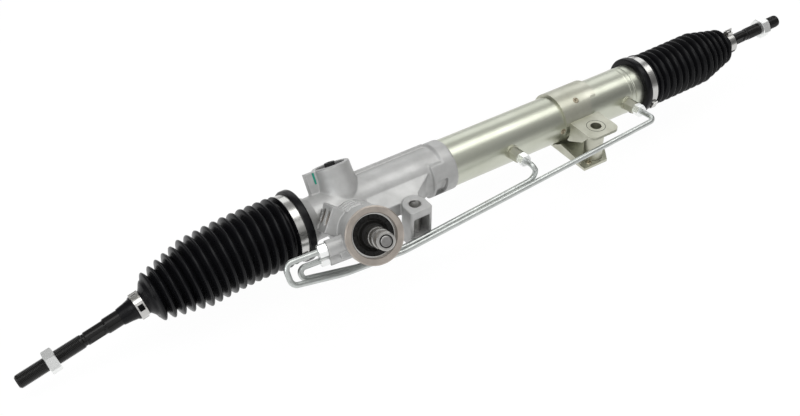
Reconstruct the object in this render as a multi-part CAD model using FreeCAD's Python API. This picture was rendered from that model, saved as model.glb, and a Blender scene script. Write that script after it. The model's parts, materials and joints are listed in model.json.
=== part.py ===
import FreeCAD, Part
import math
import os

# A hydraulic power steering rack, in millimetres. X runs along the rack toward
# the cylinder end, Z is up along the mounting bolts, and the input shaft leans
# out toward -Y. The pieces are drawn about the rack axis, with X = 0 where the
# cylinder tube meets the gear housing, and moved onto the ear's bolt axis last.

Vec = FreeCAD.Vector

# Fits and free gaps
RUN = 0.05
AIR = 0.3

# Mounting
EAR_TO_FLANGE = 70.8
BOLT_TO_RACK = 48.5
BOLT_SPACING = 244.8
BOLT_BORE_R = 6.25
MOUNT_TOP = 10.0

# Cylinder
TUBE_R = 27.0
TUBE_WALL = 3.5
TUBE_PRESSED_IN = 12.0
TUBE_STEP = 1.8
TUBE_END = 284.0
BULKHEAD_X = 50.0
BULKHEAD_LENGTH = 16.0
GLAND_LENGTH = 14.0
PORT_X = (73.0, 240.0)
PORT_TILT = 6.0
PISTON_X = 128.0
PISTON_LENGTH = 14.0

# Rack bar, its travel and the ball joints on its ends
BAR_R = 14.5
TRAVEL_LEFT = 40.0
TRAVEL_RIGHT = 95.0
LEFT_BALL_X = -290.0
RIGHT_BALL_X = 325.0
BALL_R = 12.5
SOCKET_R = 19.0
SOCKET_BACK = 20.0
SOCKET_MOUTH = 12.0
SOCKET_LIP = 4.0
SPANNER_FLATS = (-16.0, -8.0)
SPANNER_HALF = 16.5
SEAT_R = 15.5
SEAT_RIM = 6.0
STUD_R = 8.0
STUD_LENGTH = 18.0
WASHER_R = 16.0
WASHER_THICKNESS = 2.5
BUSHING_LENGTH = 12.0

# Rack and pinion teeth
MODULE = 2.1
PINION_TEETH = 8
PROFILE_SHIFT = 0.5
PRESSURE_ANGLE = 20.0
PINION_TIP_R = 11.0
RACK_PITCH_HEIGHT = 11.0
RACK_ADDENDUM = 1.9
RACK_DEDENDUM = 2.1
BACKLASH = 0.12
RACK_TEETH_LEFT = 16
RACK_TEETH_RIGHT = 8

# Pinion axis: it crosses the rack at PINION_X, leaning in plan and rising in front
PINION_X = -127.0
PINION_LEAN = 14.0
PINION_RISE = 34.0

# Gear housing casting
NECK_R = 25.5
FLANGE_R = 28.5
FLANGE_LENGTH = 14.0
PAD_REACH = 17.0
LEFT_NECK_R = 23.0
HOUSING_BORE_R = 17.0
SPIGOT_R = 31.5
SPIGOT_X = -197.5
COLLAR_X = -181.0
RECESS_R = 20.5
PINION_CASE_R = 24.0
VALVE_CASE_R = 27.5
VALVE_BORE_R = 19.0
GEAR_BORE_R = 12.6
LOWER_SEAT_R = 13.0
CASE_BOTTOM = -40.0
MOUTH_R = 29.3
MOUTH_RECESS_R = 22.4
MOUTH_TOP = 112.0
MOUTH_DEPTH = 9.5
TOWER_R = 20.6
TOWER_TOP = 45.4
YOKE_BORE_R = 16.0
YOKE_PLUG_LOW = 33.0
EAR_HALF = 13.5
EAR_FRONT = -62.0
EAR_BOTTOM = -35.0
EAR_WINDOW_WIDTH = 19.0
EAR_WINDOW_HEIGHT = 24.0
EAR_TOP_WALL = 9.5

# Fluid ports and pipes
PORT_FACE = 38.5
PORT_FACE_ANGLE = 142.0
PORT_HEIGHTS = (36.0, 58.0)
PORT_BLOCK_ACROSS = (-13.0, 14.5)
PORT_BLOCK_HEIGHTS = (20.0, 70.0)
PORT_THREAD_R = 8.0
PIPE_R = 3.0
PIPE_WALL = 1.0
PIPE_NUT_FLATS = 12.5
PIPE_NUT_LENGTH = 9.0
PIPE_THREAD_R = 5.0
BOSS_R = 8.5
PIPE_BOSSES = ((87.0, 0.0, 44.5), (74.8, -11.0, 43.9))
CYLINDER_BOSS_END = 43.0
CYLINDER_BOSS_FLATS = 13.0

# Bracket on the cylinder
SHEET = 3.2
SADDLE_HALF = 25.0
PLATE_HALF = 20.5
PLATE_FRONT = -66.5
SLEEVE_R = 10.5

# Valve and input shaft, as heights along the pinion axis
BEARING_LOW = (-26.0, -17.0)
LOW_JOURNAL_R = 6.0
NUT_THREAD_R = 5.0
GEAR_HALF = 16.0
BEARING_HIGH = (20.0, 32.0)
HIGH_JOURNAL_R = 8.5
PINION_HEAD_R = 14.0
PINION_HEAD = (32.5, 42.0)
SLEEVE_OUTER_R = 18.6
ROTOR_R = 11.0
VALVE_SLEEVE = (38.0, 88.0)
SLEEVE_RING_HEIGHTS = (43.0, 55.0, 67.0, 79.0)
SHAFT_R = 10.0
SHAFT_END = 158.0
SPLINE_R = 9.4
TIP_R = 9.2
BEARING_TOP = (90.5, 97.0)
TORSION_BAR_R = 3.2

# Boots
BOOT_WALL = 1.8
BOOT_DEPTH = 6.5
BOOT_LIP = 7.0
BOOT_SEAT = 3.5
BOOT_LIP_ROUND = 1.5
BOOT_CUFF_GAP = 4.0
BOOT_NECK = 1.2
BOOT_MITRE = 1.6
CLAMP_WIDTH = 8.7
CLAMP_SHEET = 0.7
SMALL_SEAT_R = 12.4
LEFT_CREST_R = 37.3
RIGHT_CREST_R = 31.8
LEFT_FOLDS = 16
LEFT_PITCH = 9.4
LEFT_STRAIGHT_FOLDS = 3
LEFT_SMALL_CREST_R = 26.4
LEFT_TAPER = 2.15
LEFT_BAND_AT = 8.3
LEFT_FOLDS_END = 62.0
LEFT_SAG = 4.0
RIGHT_FOLDS = 13
RIGHT_SMALL_CREST_R = 22.0
RIGHT_TAPER = 2.4
RIGHT_BAND_AT = 8.6
RIGHT_FOLDS_END = 93.3
RIGHT_CUFF_PAST = 2.3

# Tie rods
ROD_R = 8.15
ROD_NECK_R = 6.0
THREAD_R = 7.0
JAM_NUT_FLATS = 22.0
JAM_NUT_LENGTH = 11.0
LEFT_DROOP = 13.7
RIGHT_RISE = 2.4
LEFT_ROD_LENGTH = 206.5
RIGHT_ROD_LENGTH = 188.0
ROD_BODY_END = 110.0
LEFT_SMOOTH_END = 132.0
RIGHT_SMOOTH_END = 129.0
LEFT_NUT_BACK = 37.0
RIGHT_NUT_BACK = 26.8
LEFT_CLAMP_AT = 69.0
RIGHT_CLAMP_AT = 98.0

# Sizes that follow from the ones above
CYLINDER_BORE_R = TUBE_R - TUBE_WALL
TUBE_SEAT_R = TUBE_R - TUBE_STEP
SEAL_R = BAR_R + (CYLINDER_BORE_R - BAR_R) * 2 / 3
LEFT_STOP_X = LEFT_BALL_X + SOCKET_BACK + TRAVEL_RIGHT + AIR
RIGHT_STOP_X = RIGHT_BALL_X - SOCKET_BACK - TRAVEL_LEFT - AIR
LEFT_BAND_END = COLLAR_X - LEFT_BAND_AT - CLAMP_WIDTH
RIGHT_BAND_START = RIGHT_STOP_X + RIGHT_CUFF_PAST + RIGHT_BAND_AT
PITCH_R = MODULE * PINION_TEETH / 2
MESH_DISTANCE = PITCH_R + PROFILE_SHIFT * MODULE + RACK_PITCH_HEIGHT
TOOTH_THICKNESS = MODULE * (math.pi / 2 + 2 * PROFILE_SHIFT * math.tan(math.radians(PRESSURE_ANGLE)))
SADDLE_R = TUBE_R + SHEET
BRACKET_X = BOLT_SPACING - EAR_TO_FLANGE
BRACKET_BOTTOM = -SADDLE_R - SHEET
MOUTH_FLOOR = MOUTH_TOP - MOUTH_DEPTH


def cos(degrees):
    return math.cos(math.radians(degrees))


def sin(degrees):
    return math.sin(math.radians(degrees))


# Directions of the pinion shaft, of the yoke above the mesh, and across both
SHAFT_WAY = Vec(-sin(PINION_LEAN), -cos(PINION_LEAN) * cos(PINION_RISE), cos(PINION_LEAN) * sin(PINION_RISE))
YOKE_WAY = Vec(0, sin(PINION_RISE), cos(PINION_RISE))
CROSS_WAY = YOKE_WAY.cross(SHAFT_WAY)
PORT_WAY = Vec(0, -cos(PORT_TILT), sin(PORT_TILT))


def frame(origin, z_way, x_way):
    """Placement whose local Z and X point the given ways."""
    turn = FreeCAD.Rotation(x_way, z_way.cross(x_way), z_way, "ZXY")
    return FreeCAD.Placement(origin, turn)


RACK = frame(Vec(0, 0, 0), Vec(1, 0, 0), Vec(0, 1, 0))
PINION = frame(Vec(PINION_X, 0, 0) - YOKE_WAY * MESH_DISTANCE, SHAFT_WAY, CROSS_WAY)
TOWER = frame(Vec(PINION_X, 0, 0), YOKE_WAY, Vec(1, 0, 0))
LEFT_BALL = frame(Vec(LEFT_BALL_X, 0, 0), Vec(-1, 0, 0), Vec(0, 1, 0))
RIGHT_BALL = frame(Vec(RIGHT_BALL_X, 0, 0), Vec(1, 0, 0), Vec(0, 1, 0))
LEFT_ROD_WAY = Vec(-cos(LEFT_DROOP), 0, -sin(LEFT_DROOP))
RIGHT_ROD_WAY = Vec(cos(RIGHT_RISE), 0, sin(RIGHT_RISE))
LEFT_ROD = frame(Vec(LEFT_BALL_X, 0, 0), LEFT_ROD_WAY, Vec(0, 1, 0))
RIGHT_ROD = frame(Vec(RIGHT_BALL_X, 0, 0), RIGHT_ROD_WAY, Vec(0, 1, 0))


def placed(place, shape):
    """A copy of the shape moved from the local frame into the rack's frame."""
    moved = shape.copy()
    moved.Placement = place.multiply(moved.Placement)
    return moved


def fused(shapes):
    return shapes[0].multiFuse(shapes[1:]).removeSplitter()


def cut(shape, tools):
    return shape.cut(tools)


def revolved(profile):
    """Solid turned about local Z from (height, radius) corners."""
    corners = [Vec(radius, 0, height) for height, radius in profile]
    face = Part.Face(Part.makePolygon(corners + corners[:1]))
    return face.revolve(Vec(0, 0, 0), Vec(0, 0, 1), 360)


def ring(low, high, outer, inner):
    return revolved([(low, inner), (low, outer), (high, outer), (high, inner)])


def rod(low, high, radius):
    return Part.makeCylinder(radius, high - low, Vec(0, 0, low))


def block(x_span, y_span, z_span):
    corner = Vec(x_span[0], y_span[0], z_span[0])
    return Part.makeBox(x_span[1] - x_span[0], y_span[1] - y_span[0], z_span[1] - z_span[0], corner)


def prism(points, along):
    face = Part.Face(Part.makePolygon(points + points[:1]))
    return face.extrude(along)


def hexagon(flats, low, high, start=0.0):
    """Six-sided bar about local Z with its corners taken off a little."""
    corner_r = flats / 2 / cos(30)
    points = [Vec(corner_r * cos(start + 60 * i), corner_r * sin(start + 60 * i), low) for i in range(6)]
    bar = prism(points, Vec(0, 0, high - low))
    bevel = corner_r - flats / 2 * 0.98
    limit = revolved([(low, 0), (low, corner_r - bevel), (low + bevel / 2, corner_r),
                      (high - bevel / 2, corner_r), (high, corner_r - bevel), (high, 0)])
    return bar.common(limit)


# Gear housing
def housing_outside():
    start = SPIGOT_X
    barrel = placed(RACK, revolved([
        (start, 0), (start, SPIGOT_R - 1.5), (start + 1.5, SPIGOT_R), (COLLAR_X - 0.5, SPIGOT_R),
        (COLLAR_X, SPIGOT_R - 1.0), (COLLAR_X + 13, LEFT_NECK_R), (PINION_X - 20, LEFT_NECK_R),
        (PINION_X - 12, NECK_R), (-FLANGE_LENGTH - 3, NECK_R), (-FLANGE_LENGTH, FLANGE_R),
        (-1.5, FLANGE_R), (0, FLANGE_R - 1), (0, 0)]))
    bottom = CASE_BOTTOM
    case = placed(PINION, revolved([
        (bottom, 0), (bottom, PINION_CASE_R - 4), (bottom + 2, PINION_CASE_R - 2),
        (bottom + 14, PINION_CASE_R), (14, PINION_CASE_R), (20, VALVE_CASE_R),
        (MOUTH_TOP - 15, VALVE_CASE_R), (MOUTH_TOP - 13, MOUTH_R), (MOUTH_TOP - 1.2, MOUTH_R),
        (MOUTH_TOP, MOUTH_R - 1.2), (MOUTH_TOP, 0)]))
    tower = placed(TOWER, revolved([
        (0, 0), (0, TOWER_R + 4), (14, TOWER_R + 3.4), (24, TOWER_R + 1.6), (34, TOWER_R + 0.4),
        (TOWER_TOP - 1, TOWER_R), (TOWER_TOP, TOWER_R - 1), (TOWER_TOP, 0)]))
    return [barrel, case, tower] + housing_ribs() + [housing_web(), ear_outside()] + port_outsides()


def housing_ribs():
    """Fin beside the yoke tower, rib along the neck and steps on the valve case."""
    fin = placed(TOWER, block((-TOWER_R - 11.5, 0), (-4, 4), (10, TOWER_TOP)))
    rib_way = Vec(0, cos(45), sin(45))
    along_rib = frame(Vec(0, 0, 0), rib_way, Vec(1, 0, 0))
    rib = placed(along_rib, block((PINION_X + 10, -FLANGE_LENGTH - 4), (-7.0, 4.5), (0, NECK_R + 3.5)))
    wedge = placed(PINION, prism([Vec(0, 0, 0), Vec(6, 40, 0), Vec(-20, 40, 0)], Vec(0, 0, MOUTH_TOP)))
    steps = [placed(PINION, ring(low, low + 5, VALVE_CASE_R + 2.2, VALVE_CASE_R - 4)).common(wedge)
             for low in (36, 48, 60, 72)]
    pad = placed(RACK, rod(-FLANGE_LENGTH - PAD_REACH, 0, FLANGE_R))
    pad = pad.common(block((-60, 0), (-FLANGE_R, -12), (-24, FLANGE_R * sin(47))))
    return [fin, rib, pad] + steps


def housing_web():
    """Sloping web from the neck's front out to the ear."""
    ear_rear = -BOLT_TO_RACK + EAR_HALF
    side = prism([Vec(-112, -8, 22), Vec(-112, -22.5, 14.5), Vec(-112, ear_rear - 3, 7.6),
                  Vec(-112, ear_rear - 3, -8), Vec(-112, -8, -18)], Vec(80, 0, 0))
    right = -EAR_TO_FLANGE + EAR_HALF
    plan = prism([Vec(-112, 0, -40), Vec(-34, 0, -40), Vec(-34, -21, -40), Vec(right, ear_rear, -40),
                  Vec(right, ear_rear - 6, -40), Vec(-112, ear_rear - 6, -40)], Vec(0, 0, 80))
    return side.common(plan)


def ear_outside():
    """Upright block round the bolt, square in front and round behind."""
    x, y, r = -EAR_TO_FLANGE, -BOLT_TO_RACK, EAR_HALF
    low = EAR_BOTTOM
    front_left = Vec(x - r, EAR_FRONT, low)
    front_right = Vec(x + r, EAR_FRONT, low)
    side_right = Vec(x + r, y, low)
    side_left = Vec(x - r, y, low)
    outline = Part.Wire([
        Part.makeLine(front_left, front_right), Part.makeLine(front_right, side_right),
        Part.Arc(side_right, Vec(x, y + r, low), side_left).toShape(),
        Part.makeLine(side_left, front_left)])
    ear = Part.Face(outline).extrude(Vec(0, 0, MOUNT_TOP - low))
    uprights = [e for e in ear.Edges
                if abs(e.CenterOfMass.y - EAR_FRONT) < 0.1 and abs(e.tangentAt(e.FirstParameter).z) > 0.9]
    return ear.makeFillet(3.0, uprights)


def port_outsides():
    """Block with the two hose ports, and the two pipe bosses beside it."""
    turn = FreeCAD.Placement(Vec(0, 0, 0), FreeCAD.Rotation(Vec(0, 0, 1), PORT_FACE_ANGLE))
    hose_block = placed(PINION, placed(turn, block((0, PORT_FACE), PORT_BLOCK_ACROSS, PORT_BLOCK_HEIGHTS)))
    bosses = []
    for height, across, reach in PIPE_BOSSES:
        boss = Part.makeCylinder(BOSS_R, reach, Vec(0, across, height), Vec(-1, 0, 0))
        bosses.append(placed(PINION, boss))
    bridge = placed(PINION, block((-34, 0), (-15, 3), (70, 90)))
    return [hose_block, bridge] + bosses


def housing_cavities():
    rack_bore = placed(RACK, rod(SPIGOT_X - 1, 1, HOUSING_BORE_R))
    recess = placed(RACK, rod(SPIGOT_X - 1, LEFT_STOP_X, RECESS_R))
    tube_seat = placed(RACK, rod(-TUBE_PRESSED_IN, 1, TUBE_SEAT_R))
    floor = MOUTH_FLOOR
    shaft_bore = placed(PINION, revolved([
        (CASE_BOTTOM - 1, 0), (CASE_BOTTOM - 1, LOWER_SEAT_R + 2), (CASE_BOTTOM + 4, LOWER_SEAT_R + 2),
        (CASE_BOTTOM + 4, LOWER_SEAT_R), (BEARING_LOW[1], LOWER_SEAT_R), (BEARING_LOW[1], GEAR_BORE_R),
        (BEARING_HIGH[0], GEAR_BORE_R), (BEARING_HIGH[0], VALVE_BORE_R), (floor, VALVE_BORE_R),
        (floor, MOUTH_RECESS_R), (MOUTH_TOP - 1, MOUTH_RECESS_R), (MOUTH_TOP + 1, MOUTH_RECESS_R + 2),
        (MOUTH_TOP + 1, 0)]))
    yoke_bore = placed(TOWER, rod(0, TOWER_TOP + 1, YOKE_BORE_R))
    return [rack_bore, recess, tube_seat, shaft_bore, yoke_bore] + ear_cavities() + port_cavities()


def ear_cavities():
    x, y = -EAR_TO_FLANGE, -BOLT_TO_RACK
    bolt = Part.makeCylinder(BOLT_BORE_R, MOUNT_TOP - EAR_BOTTOM + 2, Vec(x, y, EAR_BOTTOM - 1))
    top = MOUNT_TOP - EAR_TOP_WALL
    half = EAR_WINDOW_WIDTH / 2
    window = block((x - half, x + half), (EAR_FRONT - 1, y + EAR_HALF - 5), (top - EAR_WINDOW_HEIGHT, top))
    pocket = placed(RACK, ring(-FLANGE_LENGTH - PAD_REACH + 4, -TUBE_PRESSED_IN - 1.5, FLANGE_R + 1,
                               FLANGE_R - 5))
    pocket = pocket.common(block((-60, 0), (-40, -12), (-19, 5)))
    return [bolt, window, pocket]


def port_cavities():
    turn = FreeCAD.Placement(Vec(0, 0, 0), FreeCAD.Rotation(Vec(0, 0, 1), PORT_FACE_ANGLE))
    tools = []
    for height in PORT_HEIGHTS:
        for radius, start in ((PORT_THREAD_R + 2, PORT_FACE - 0.6), (PORT_THREAD_R, PORT_FACE - 13),
                              (4.0, VALVE_BORE_R - 4)):
            hole = Part.makeCylinder(radius, PORT_FACE + 1 - start, Vec(start, -0.5, height), Vec(1, 0, 0))
            tools.append(placed(PINION, placed(turn, hole)))
    for height, across, reach in PIPE_BOSSES:
        for radius, depth in ((PIPE_THREAD_R, 12.0), (PIPE_R - PIPE_WALL, reach - VALVE_BORE_R + 6)):
            hole = Part.makeCylinder(radius, depth + 1, Vec(1 - reach, across, height) - Vec(2, 0, 0),
                                     Vec(1, 0, 0))
            tools.append(placed(PINION, hole))
    return tools


def gear_housing():
    return cut(fused(housing_outside()), housing_cavities())


# Cylinder and its bracket
def cylinder_tube():
    tube = placed(RACK, revolved([
        (-TUBE_PRESSED_IN, CYLINDER_BORE_R), (-TUBE_PRESSED_IN, TUBE_SEAT_R), (0, TUBE_SEAT_R), (0, TUBE_R),
        (248, TUBE_R), (248.5, TUBE_R - 0.5),
        (249.5, TUBE_R - 0.5), (250, TUBE_R), (254, TUBE_R), (254.5, TUBE_R - 0.5), (255.5, TUBE_R - 0.5),
        (256, TUBE_R), (TUBE_END - 1, TUBE_R), (TUBE_END, TUBE_R - 1), (TUBE_END, CYLINDER_BORE_R)]))
    holes = [Part.makeCylinder(PIPE_R, TUBE_R + 2, Vec(x, 0, 0), PORT_WAY) for x in PORT_X]
    groove = placed(RACK, rod(RIGHT_STOP_X, RIGHT_STOP_X + 2, CYLINDER_BORE_R + 1))
    return cut(tube, holes + [groove])


def port_boss(x):
    """Six-sided boss welded to the tube round a cylinder port."""
    place = frame(Vec(x, 0, 0), PORT_WAY, Vec(1, 0, 0))
    boss = hexagon(CYLINDER_BOSS_FLATS, CYLINDER_BORE_R, CYLINDER_BOSS_END, 30)
    collar = rod(CYLINDER_BORE_R, TUBE_R + 2.2, CYLINDER_BOSS_FLATS / 2 + 1.6)
    holes = [rod(0, CYLINDER_BOSS_END + 1, PIPE_R), rod(CYLINDER_BOSS_END - 12, CYLINDER_BOSS_END + 1,
                                                       PIPE_THREAD_R)]
    bore = placed(RACK, rod(-20 + x, 20 + x, TUBE_R))
    return cut(placed(place, cut(fused([boss, collar]), holes)), [bore])


def bracket_saddle():
    """Strap over the tube, narrower in front where the upper plate leaves it."""
    low, high = BRACKET_X - SADDLE_HALF, BRACKET_X + SADDLE_HALF
    strap = placed(RACK, ring(low, high, SADDLE_R, TUBE_R))
    gap = block((low - 1, high + 1), (-SADDLE_R - 1, -6), (-SADDLE_R - 1, MOUNT_TOP - SHEET))
    notch = prism([Vec(BRACKET_X + 12, -40, -1), Vec(high + 1, -40, -1), Vec(high + 1, -16, -1),
                   Vec(high - 8, -16, -1), Vec(BRACKET_X + 12, -28, -1)], Vec(0, 0, 31))
    return cut(strap, [gap, notch])


def bracket_upper_plate():
    """Flat ear at bolt height with its left side folded down to the tube."""
    low, high = BRACKET_X - PLATE_HALF, BRACKET_X + PLATE_HALF
    plate = block((low, high), (PLATE_FRONT, -20), (MOUNT_TOP - SHEET, MOUNT_TOP))
    middle = MOUNT_TOP - SHEET / 2
    corners = [e for e in plate.Edges
               if abs(e.CenterOfMass.y - PLATE_FRONT) < 0.1 and abs(e.CenterOfMass.z - middle) < 0.1]
    plate = plate.makeFillet(8.0, corners)
    fold = prism([Vec(low, -20, MOUNT_TOP - SHEET), Vec(low, -20, -15), Vec(low, -30, -14),
                  Vec(low, -51, -3.2), Vec(low, PLATE_FRONT + 8, MOUNT_TOP - SHEET)], Vec(SHEET, 0, 0))
    tube = placed(RACK, rod(low - 1, high + 1, SADDLE_R))
    bolt = Part.makeCylinder(SLEEVE_R, 20, Vec(BRACKET_X, -BOLT_TO_RACK, -5))
    return cut(fused([plate, fold]), [tube, bolt])


def bracket_lower_plate():
    """Flat plate under the tube with its left side folded up."""
    low, high = BRACKET_X - PLATE_HALF - 4, BRACKET_X + PLATE_HALF - 2
    front = PLATE_FRONT + 3
    bottom = BRACKET_BOTTOM
    plate = prism([Vec(low, -2, bottom), Vec(low, front, bottom), Vec(high - 10, front, bottom),
                   Vec(high, front + 15, bottom), Vec(high, -2, bottom)], Vec(0, 0, SHEET))
    fold = prism([Vec(low, -6, bottom), Vec(low, -18, -22), Vec(low, -46, -25), Vec(low, front + 4, bottom)],
                 Vec(SHEET, 0, 0))
    tube = placed(RACK, rod(low - 1, high + 1, SADDLE_R))
    bolt = Part.makeCylinder(SLEEVE_R, 20, Vec(BRACKET_X, -BOLT_TO_RACK, BRACKET_BOTTOM - 5))
    return cut(fused([plate, fold]), [tube, bolt])


def bracket_sleeve():
    sleeve = ring(BRACKET_BOTTOM, MOUNT_TOP, SLEEVE_R, BOLT_BORE_R)
    return sleeve.translate(Vec(BRACKET_X, -BOLT_TO_RACK, 0))


# Pipes
def pipe_route(points, radii):
    """Straight runs joined by tangent arcs through the given corners."""
    edges = []
    here = points[0]
    for before, corner, after, radius in zip(points, points[1:], points[2:], radii):
        way_in = (corner - before).normalize()
        way_out = (after - corner).normalize()
        half_turn = way_in.getAngle(way_out) / 2
        back = radius * math.tan(half_turn)
        start = corner - way_in * back
        end = corner + way_out * back
        toward = (way_out - way_in).normalize()
        middle = corner + toward * (radius / math.cos(half_turn) - radius)
        edges.append(Part.LineSegment(here, start).toShape())
        edges.append(Part.Arc(start, middle, end).toShape())
        here = end
    edges.append(Part.LineSegment(here, points[-1]).toShape())
    return Part.Wire(edges)


def pipe(points, radii):
    """Steel pipe along the route, bored as far as its nuts hide it."""
    path = pipe_route(points, radii)
    section = Part.Wire(Part.makeCircle(PIPE_R, points[0], (points[1] - points[0]).normalize()))
    tube = path.makePipeShell([section], True, True)
    ends = [(points[0], points[1]), (points[-1], points[-2])]
    bores = [Part.makeCylinder(PIPE_R - PIPE_WALL, PIPE_NUT_LENGTH, at, (toward - at).normalize())
             for at, toward in ends]
    return cut(tube, bores)


def pinion_point(x, y, z):
    return PINION.multVec(Vec(x, y, z))


def seat_points(number):
    """Where a pipe ends in its valve-case boss, and the way out of the nut."""
    height, across, reach = PIPE_BOSSES[number]
    inner = pinion_point(-reach + 9, across, height)
    return inner, reach, across, height


def long_pipe():
    x = PORT_X[1]
    start = Vec(x, 0, 0) + PORT_WAY * (CYLINDER_BOSS_END - 9)
    inner, reach, across, height = seat_points(0)
    corner = pinion_point(-reach - 44, across, height)
    turn = corner - YOKE_WAY * 21 + Vec(0, -2, 0)
    return pipe([start, Vec(x, 0, 0) + PORT_WAY * 74, Vec(-100, -72, -24), Vec(-172, -74, -16.5), turn,
                 corner, inner], (8, 60, 90, 8, 8))


def short_pipe():
    x = PORT_X[0]
    start = Vec(x, 0, 0) + PORT_WAY * (CYLINDER_BOSS_END - 9)
    inner, reach, across, height = seat_points(1)
    corner = pinion_point(-reach - 32, across, height)
    turn = corner - YOKE_WAY * 13 + Vec(3, 2, 0)
    return pipe([start, Vec(x, 0, 0) + PORT_WAY * 66, Vec(x + 5, -65.6, -9), Vec(-88, -65.6, -25),
                 Vec(-150, -66, -24), turn, corner, inner], (6, 10, 60, 60, 6, 6))


def tube_nut(place):
    nut = fused([hexagon(PIPE_NUT_FLATS, 0, PIPE_NUT_LENGTH), rod(-9, 0, PIPE_THREAD_R)])
    return placed(place, cut(nut, [rod(-10, PIPE_NUT_LENGTH + 1, PIPE_R)]))


def tube_nuts():
    nuts = []
    for x in PORT_X:
        seat = Vec(x, 0, 0) + PORT_WAY * CYLINDER_BOSS_END
        nuts.append(tube_nut(frame(seat, PORT_WAY, Vec(1, 0, 0))))
    for height, across, reach in PIPE_BOSSES:
        nuts.append(tube_nut(frame(pinion_point(-reach, across, height), CROSS_WAY * -1, SHAFT_WAY)))
    return Part.makeCompound(nuts)


# Rack bar and what rides on it
def rack_bar():
    left = LEFT_BALL_X + SOCKET_BACK + WASHER_THICKNESS
    right = RIGHT_BALL_X - SOCKET_BACK - WASHER_THICKNESS
    bar = placed(RACK, rod(left, right, BAR_R))
    pitch_x = math.pi * MODULE / cos(PINION_LEAN)
    tip = MESH_DISTANCE - RACK_PITCH_HEIGHT - RACK_ADDENDUM
    root = MESH_DISTANCE - RACK_PITCH_HEIGHT + RACK_DEDENDUM
    slope = math.tan(math.radians(PRESSURE_ANGLE))

    def half_space(height):
        return TOOTH_THICKNESS / 2 - (height - PITCH_R) * slope

    space = prism([Vec(-half_space(tip), tip, -2 * BAR_R), Vec(half_space(tip), tip, -2 * BAR_R),
                   Vec(half_space(root), root, -2 * BAR_R), Vec(-half_space(root), root, -2 * BAR_R)],
                  Vec(0, 0, 4 * BAR_R))
    space = placed(PINION, space)
    tools = []
    for number in range(-RACK_TEETH_LEFT, RACK_TEETH_RIGHT + 1):
        tool = space.copy()
        tool.translate(Vec(number * pitch_x, 0, 0))
        tools.append(tool)
    flat = block((-(RACK_TEETH_LEFT + 1) * pitch_x, (RACK_TEETH_RIGHT + 1) * pitch_x),
                 (-2 * BAR_R, 2 * BAR_R), (-2 * BAR_R, -RACK_PITCH_HEIGHT - RACK_ADDENDUM))
    tools.append(placed(TOWER, flat))
    for end, inward in ((left, 1), (right, -1)):
        hole = Part.makeCylinder(STUD_R, STUD_LENGTH, Vec(end, 0, 0), Vec(inward, 0, 0))
        tools.append(hole)
    return cut(bar, tools)


def piston():
    low = PISTON_X - PISTON_LENGTH / 2
    high = PISTON_X + PISTON_LENGTH / 2
    groove = 3.0
    outer = CYLINDER_BORE_R - 0.6
    return placed(RACK, revolved([
        (low, BAR_R), (low, outer), (PISTON_X - groove, outer), (PISTON_X - groove, outer - 2.2),
        (PISTON_X + groove, outer - 2.2), (PISTON_X + groove, outer), (high, outer), (high, BAR_R)]))


def piston_ring():
    return placed(RACK, ring(PISTON_X - 3, PISTON_X + 3, CYLINDER_BORE_R - RUN, CYLINDER_BORE_R - 2.8))


def socket(place):
    """Ball housing with a threaded stud behind and a rolled lip in front."""
    shell = revolved([
        (-SOCKET_BACK - STUD_LENGTH, 0), (-SOCKET_BACK - STUD_LENGTH, STUD_R - 1),
        (-SOCKET_BACK - STUD_LENGTH + 1, STUD_R), (-SOCKET_BACK, STUD_R), (-SOCKET_BACK, SOCKET_R),
        (SOCKET_MOUTH - 5, SOCKET_R), (SOCKET_MOUTH, SOCKET_R - 3.5), (SOCKET_MOUTH, 0)])
    lip = SOCKET_MOUTH - SOCKET_LIP
    mouth = revolved([(lip, 0), (lip, BALL_R - 0.5), (SOCKET_MOUTH + 1, BALL_R + 1), (SOCKET_MOUTH + 1, 0)])
    low, high = SPANNER_FLATS
    wide = 2 * SOCKET_R
    sides = ((SPANNER_HALF, wide), (-wide, -SPANNER_HALF))
    flats = [block(side, (-wide, wide), (low, high)) for side in sides]
    return placed(place, cut(shell, [Part.makeSphere(SEAT_R), mouth] + flats))


def ball_seat(place):
    """Plastic bowl round the back of the ball, free to turn in its socket."""
    front = rod(SEAT_RIM, SEAT_R, SEAT_R)
    return placed(place, cut(Part.makeSphere(SEAT_R - RUN), [Part.makeSphere(BALL_R + RUN), front]))


def lock_washer(place):
    washer = ring(-SOCKET_BACK - WASHER_THICKNESS, -SOCKET_BACK, WASHER_R, STUD_R)
    tabs = [block((WASHER_R - 1.6, WASHER_R + 1), (-3, 3), (-SOCKET_BACK - 3, -SOCKET_BACK + 1))]
    return placed(place, cut(washer, tabs))


# Tie rods
def tie_rod(place, length, sleeve_end, smooth_end):
    """Ball, neck, body and thread in one forging."""
    body = revolved([
        (BALL_R - 3, 0), (BALL_R - 3, ROD_NECK_R), (20, ROD_NECK_R), (32, ROD_R), (sleeve_end, ROD_R),
        (sleeve_end + 2, THREAD_R), (smooth_end, THREAD_R), (smooth_end + 1, THREAD_R - 0.85),
        (smooth_end + 3, THREAD_R - 0.85), (smooth_end + 4, THREAD_R), (length - 1.6, THREAD_R),
        (length, THREAD_R - 1.6), (length, 0)])
    flats = [block((side * 6.2 - 5 + 5 * side, side * 6.2 + 5 + 5 * side), (-20, 20),
                   (sleeve_end + 4, smooth_end - 3)) for side in (-1, 1)]
    return placed(place, cut(fused([Part.makeSphere(BALL_R), body]), flats))


def jam_nut(place, centre):
    low = centre - JAM_NUT_LENGTH / 2
    high = centre + JAM_NUT_LENGTH / 2
    nut = hexagon(JAM_NUT_FLATS, low, high)
    return placed(place, cut(nut, [rod(low - 1, high + 1, THREAD_R)]))


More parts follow.
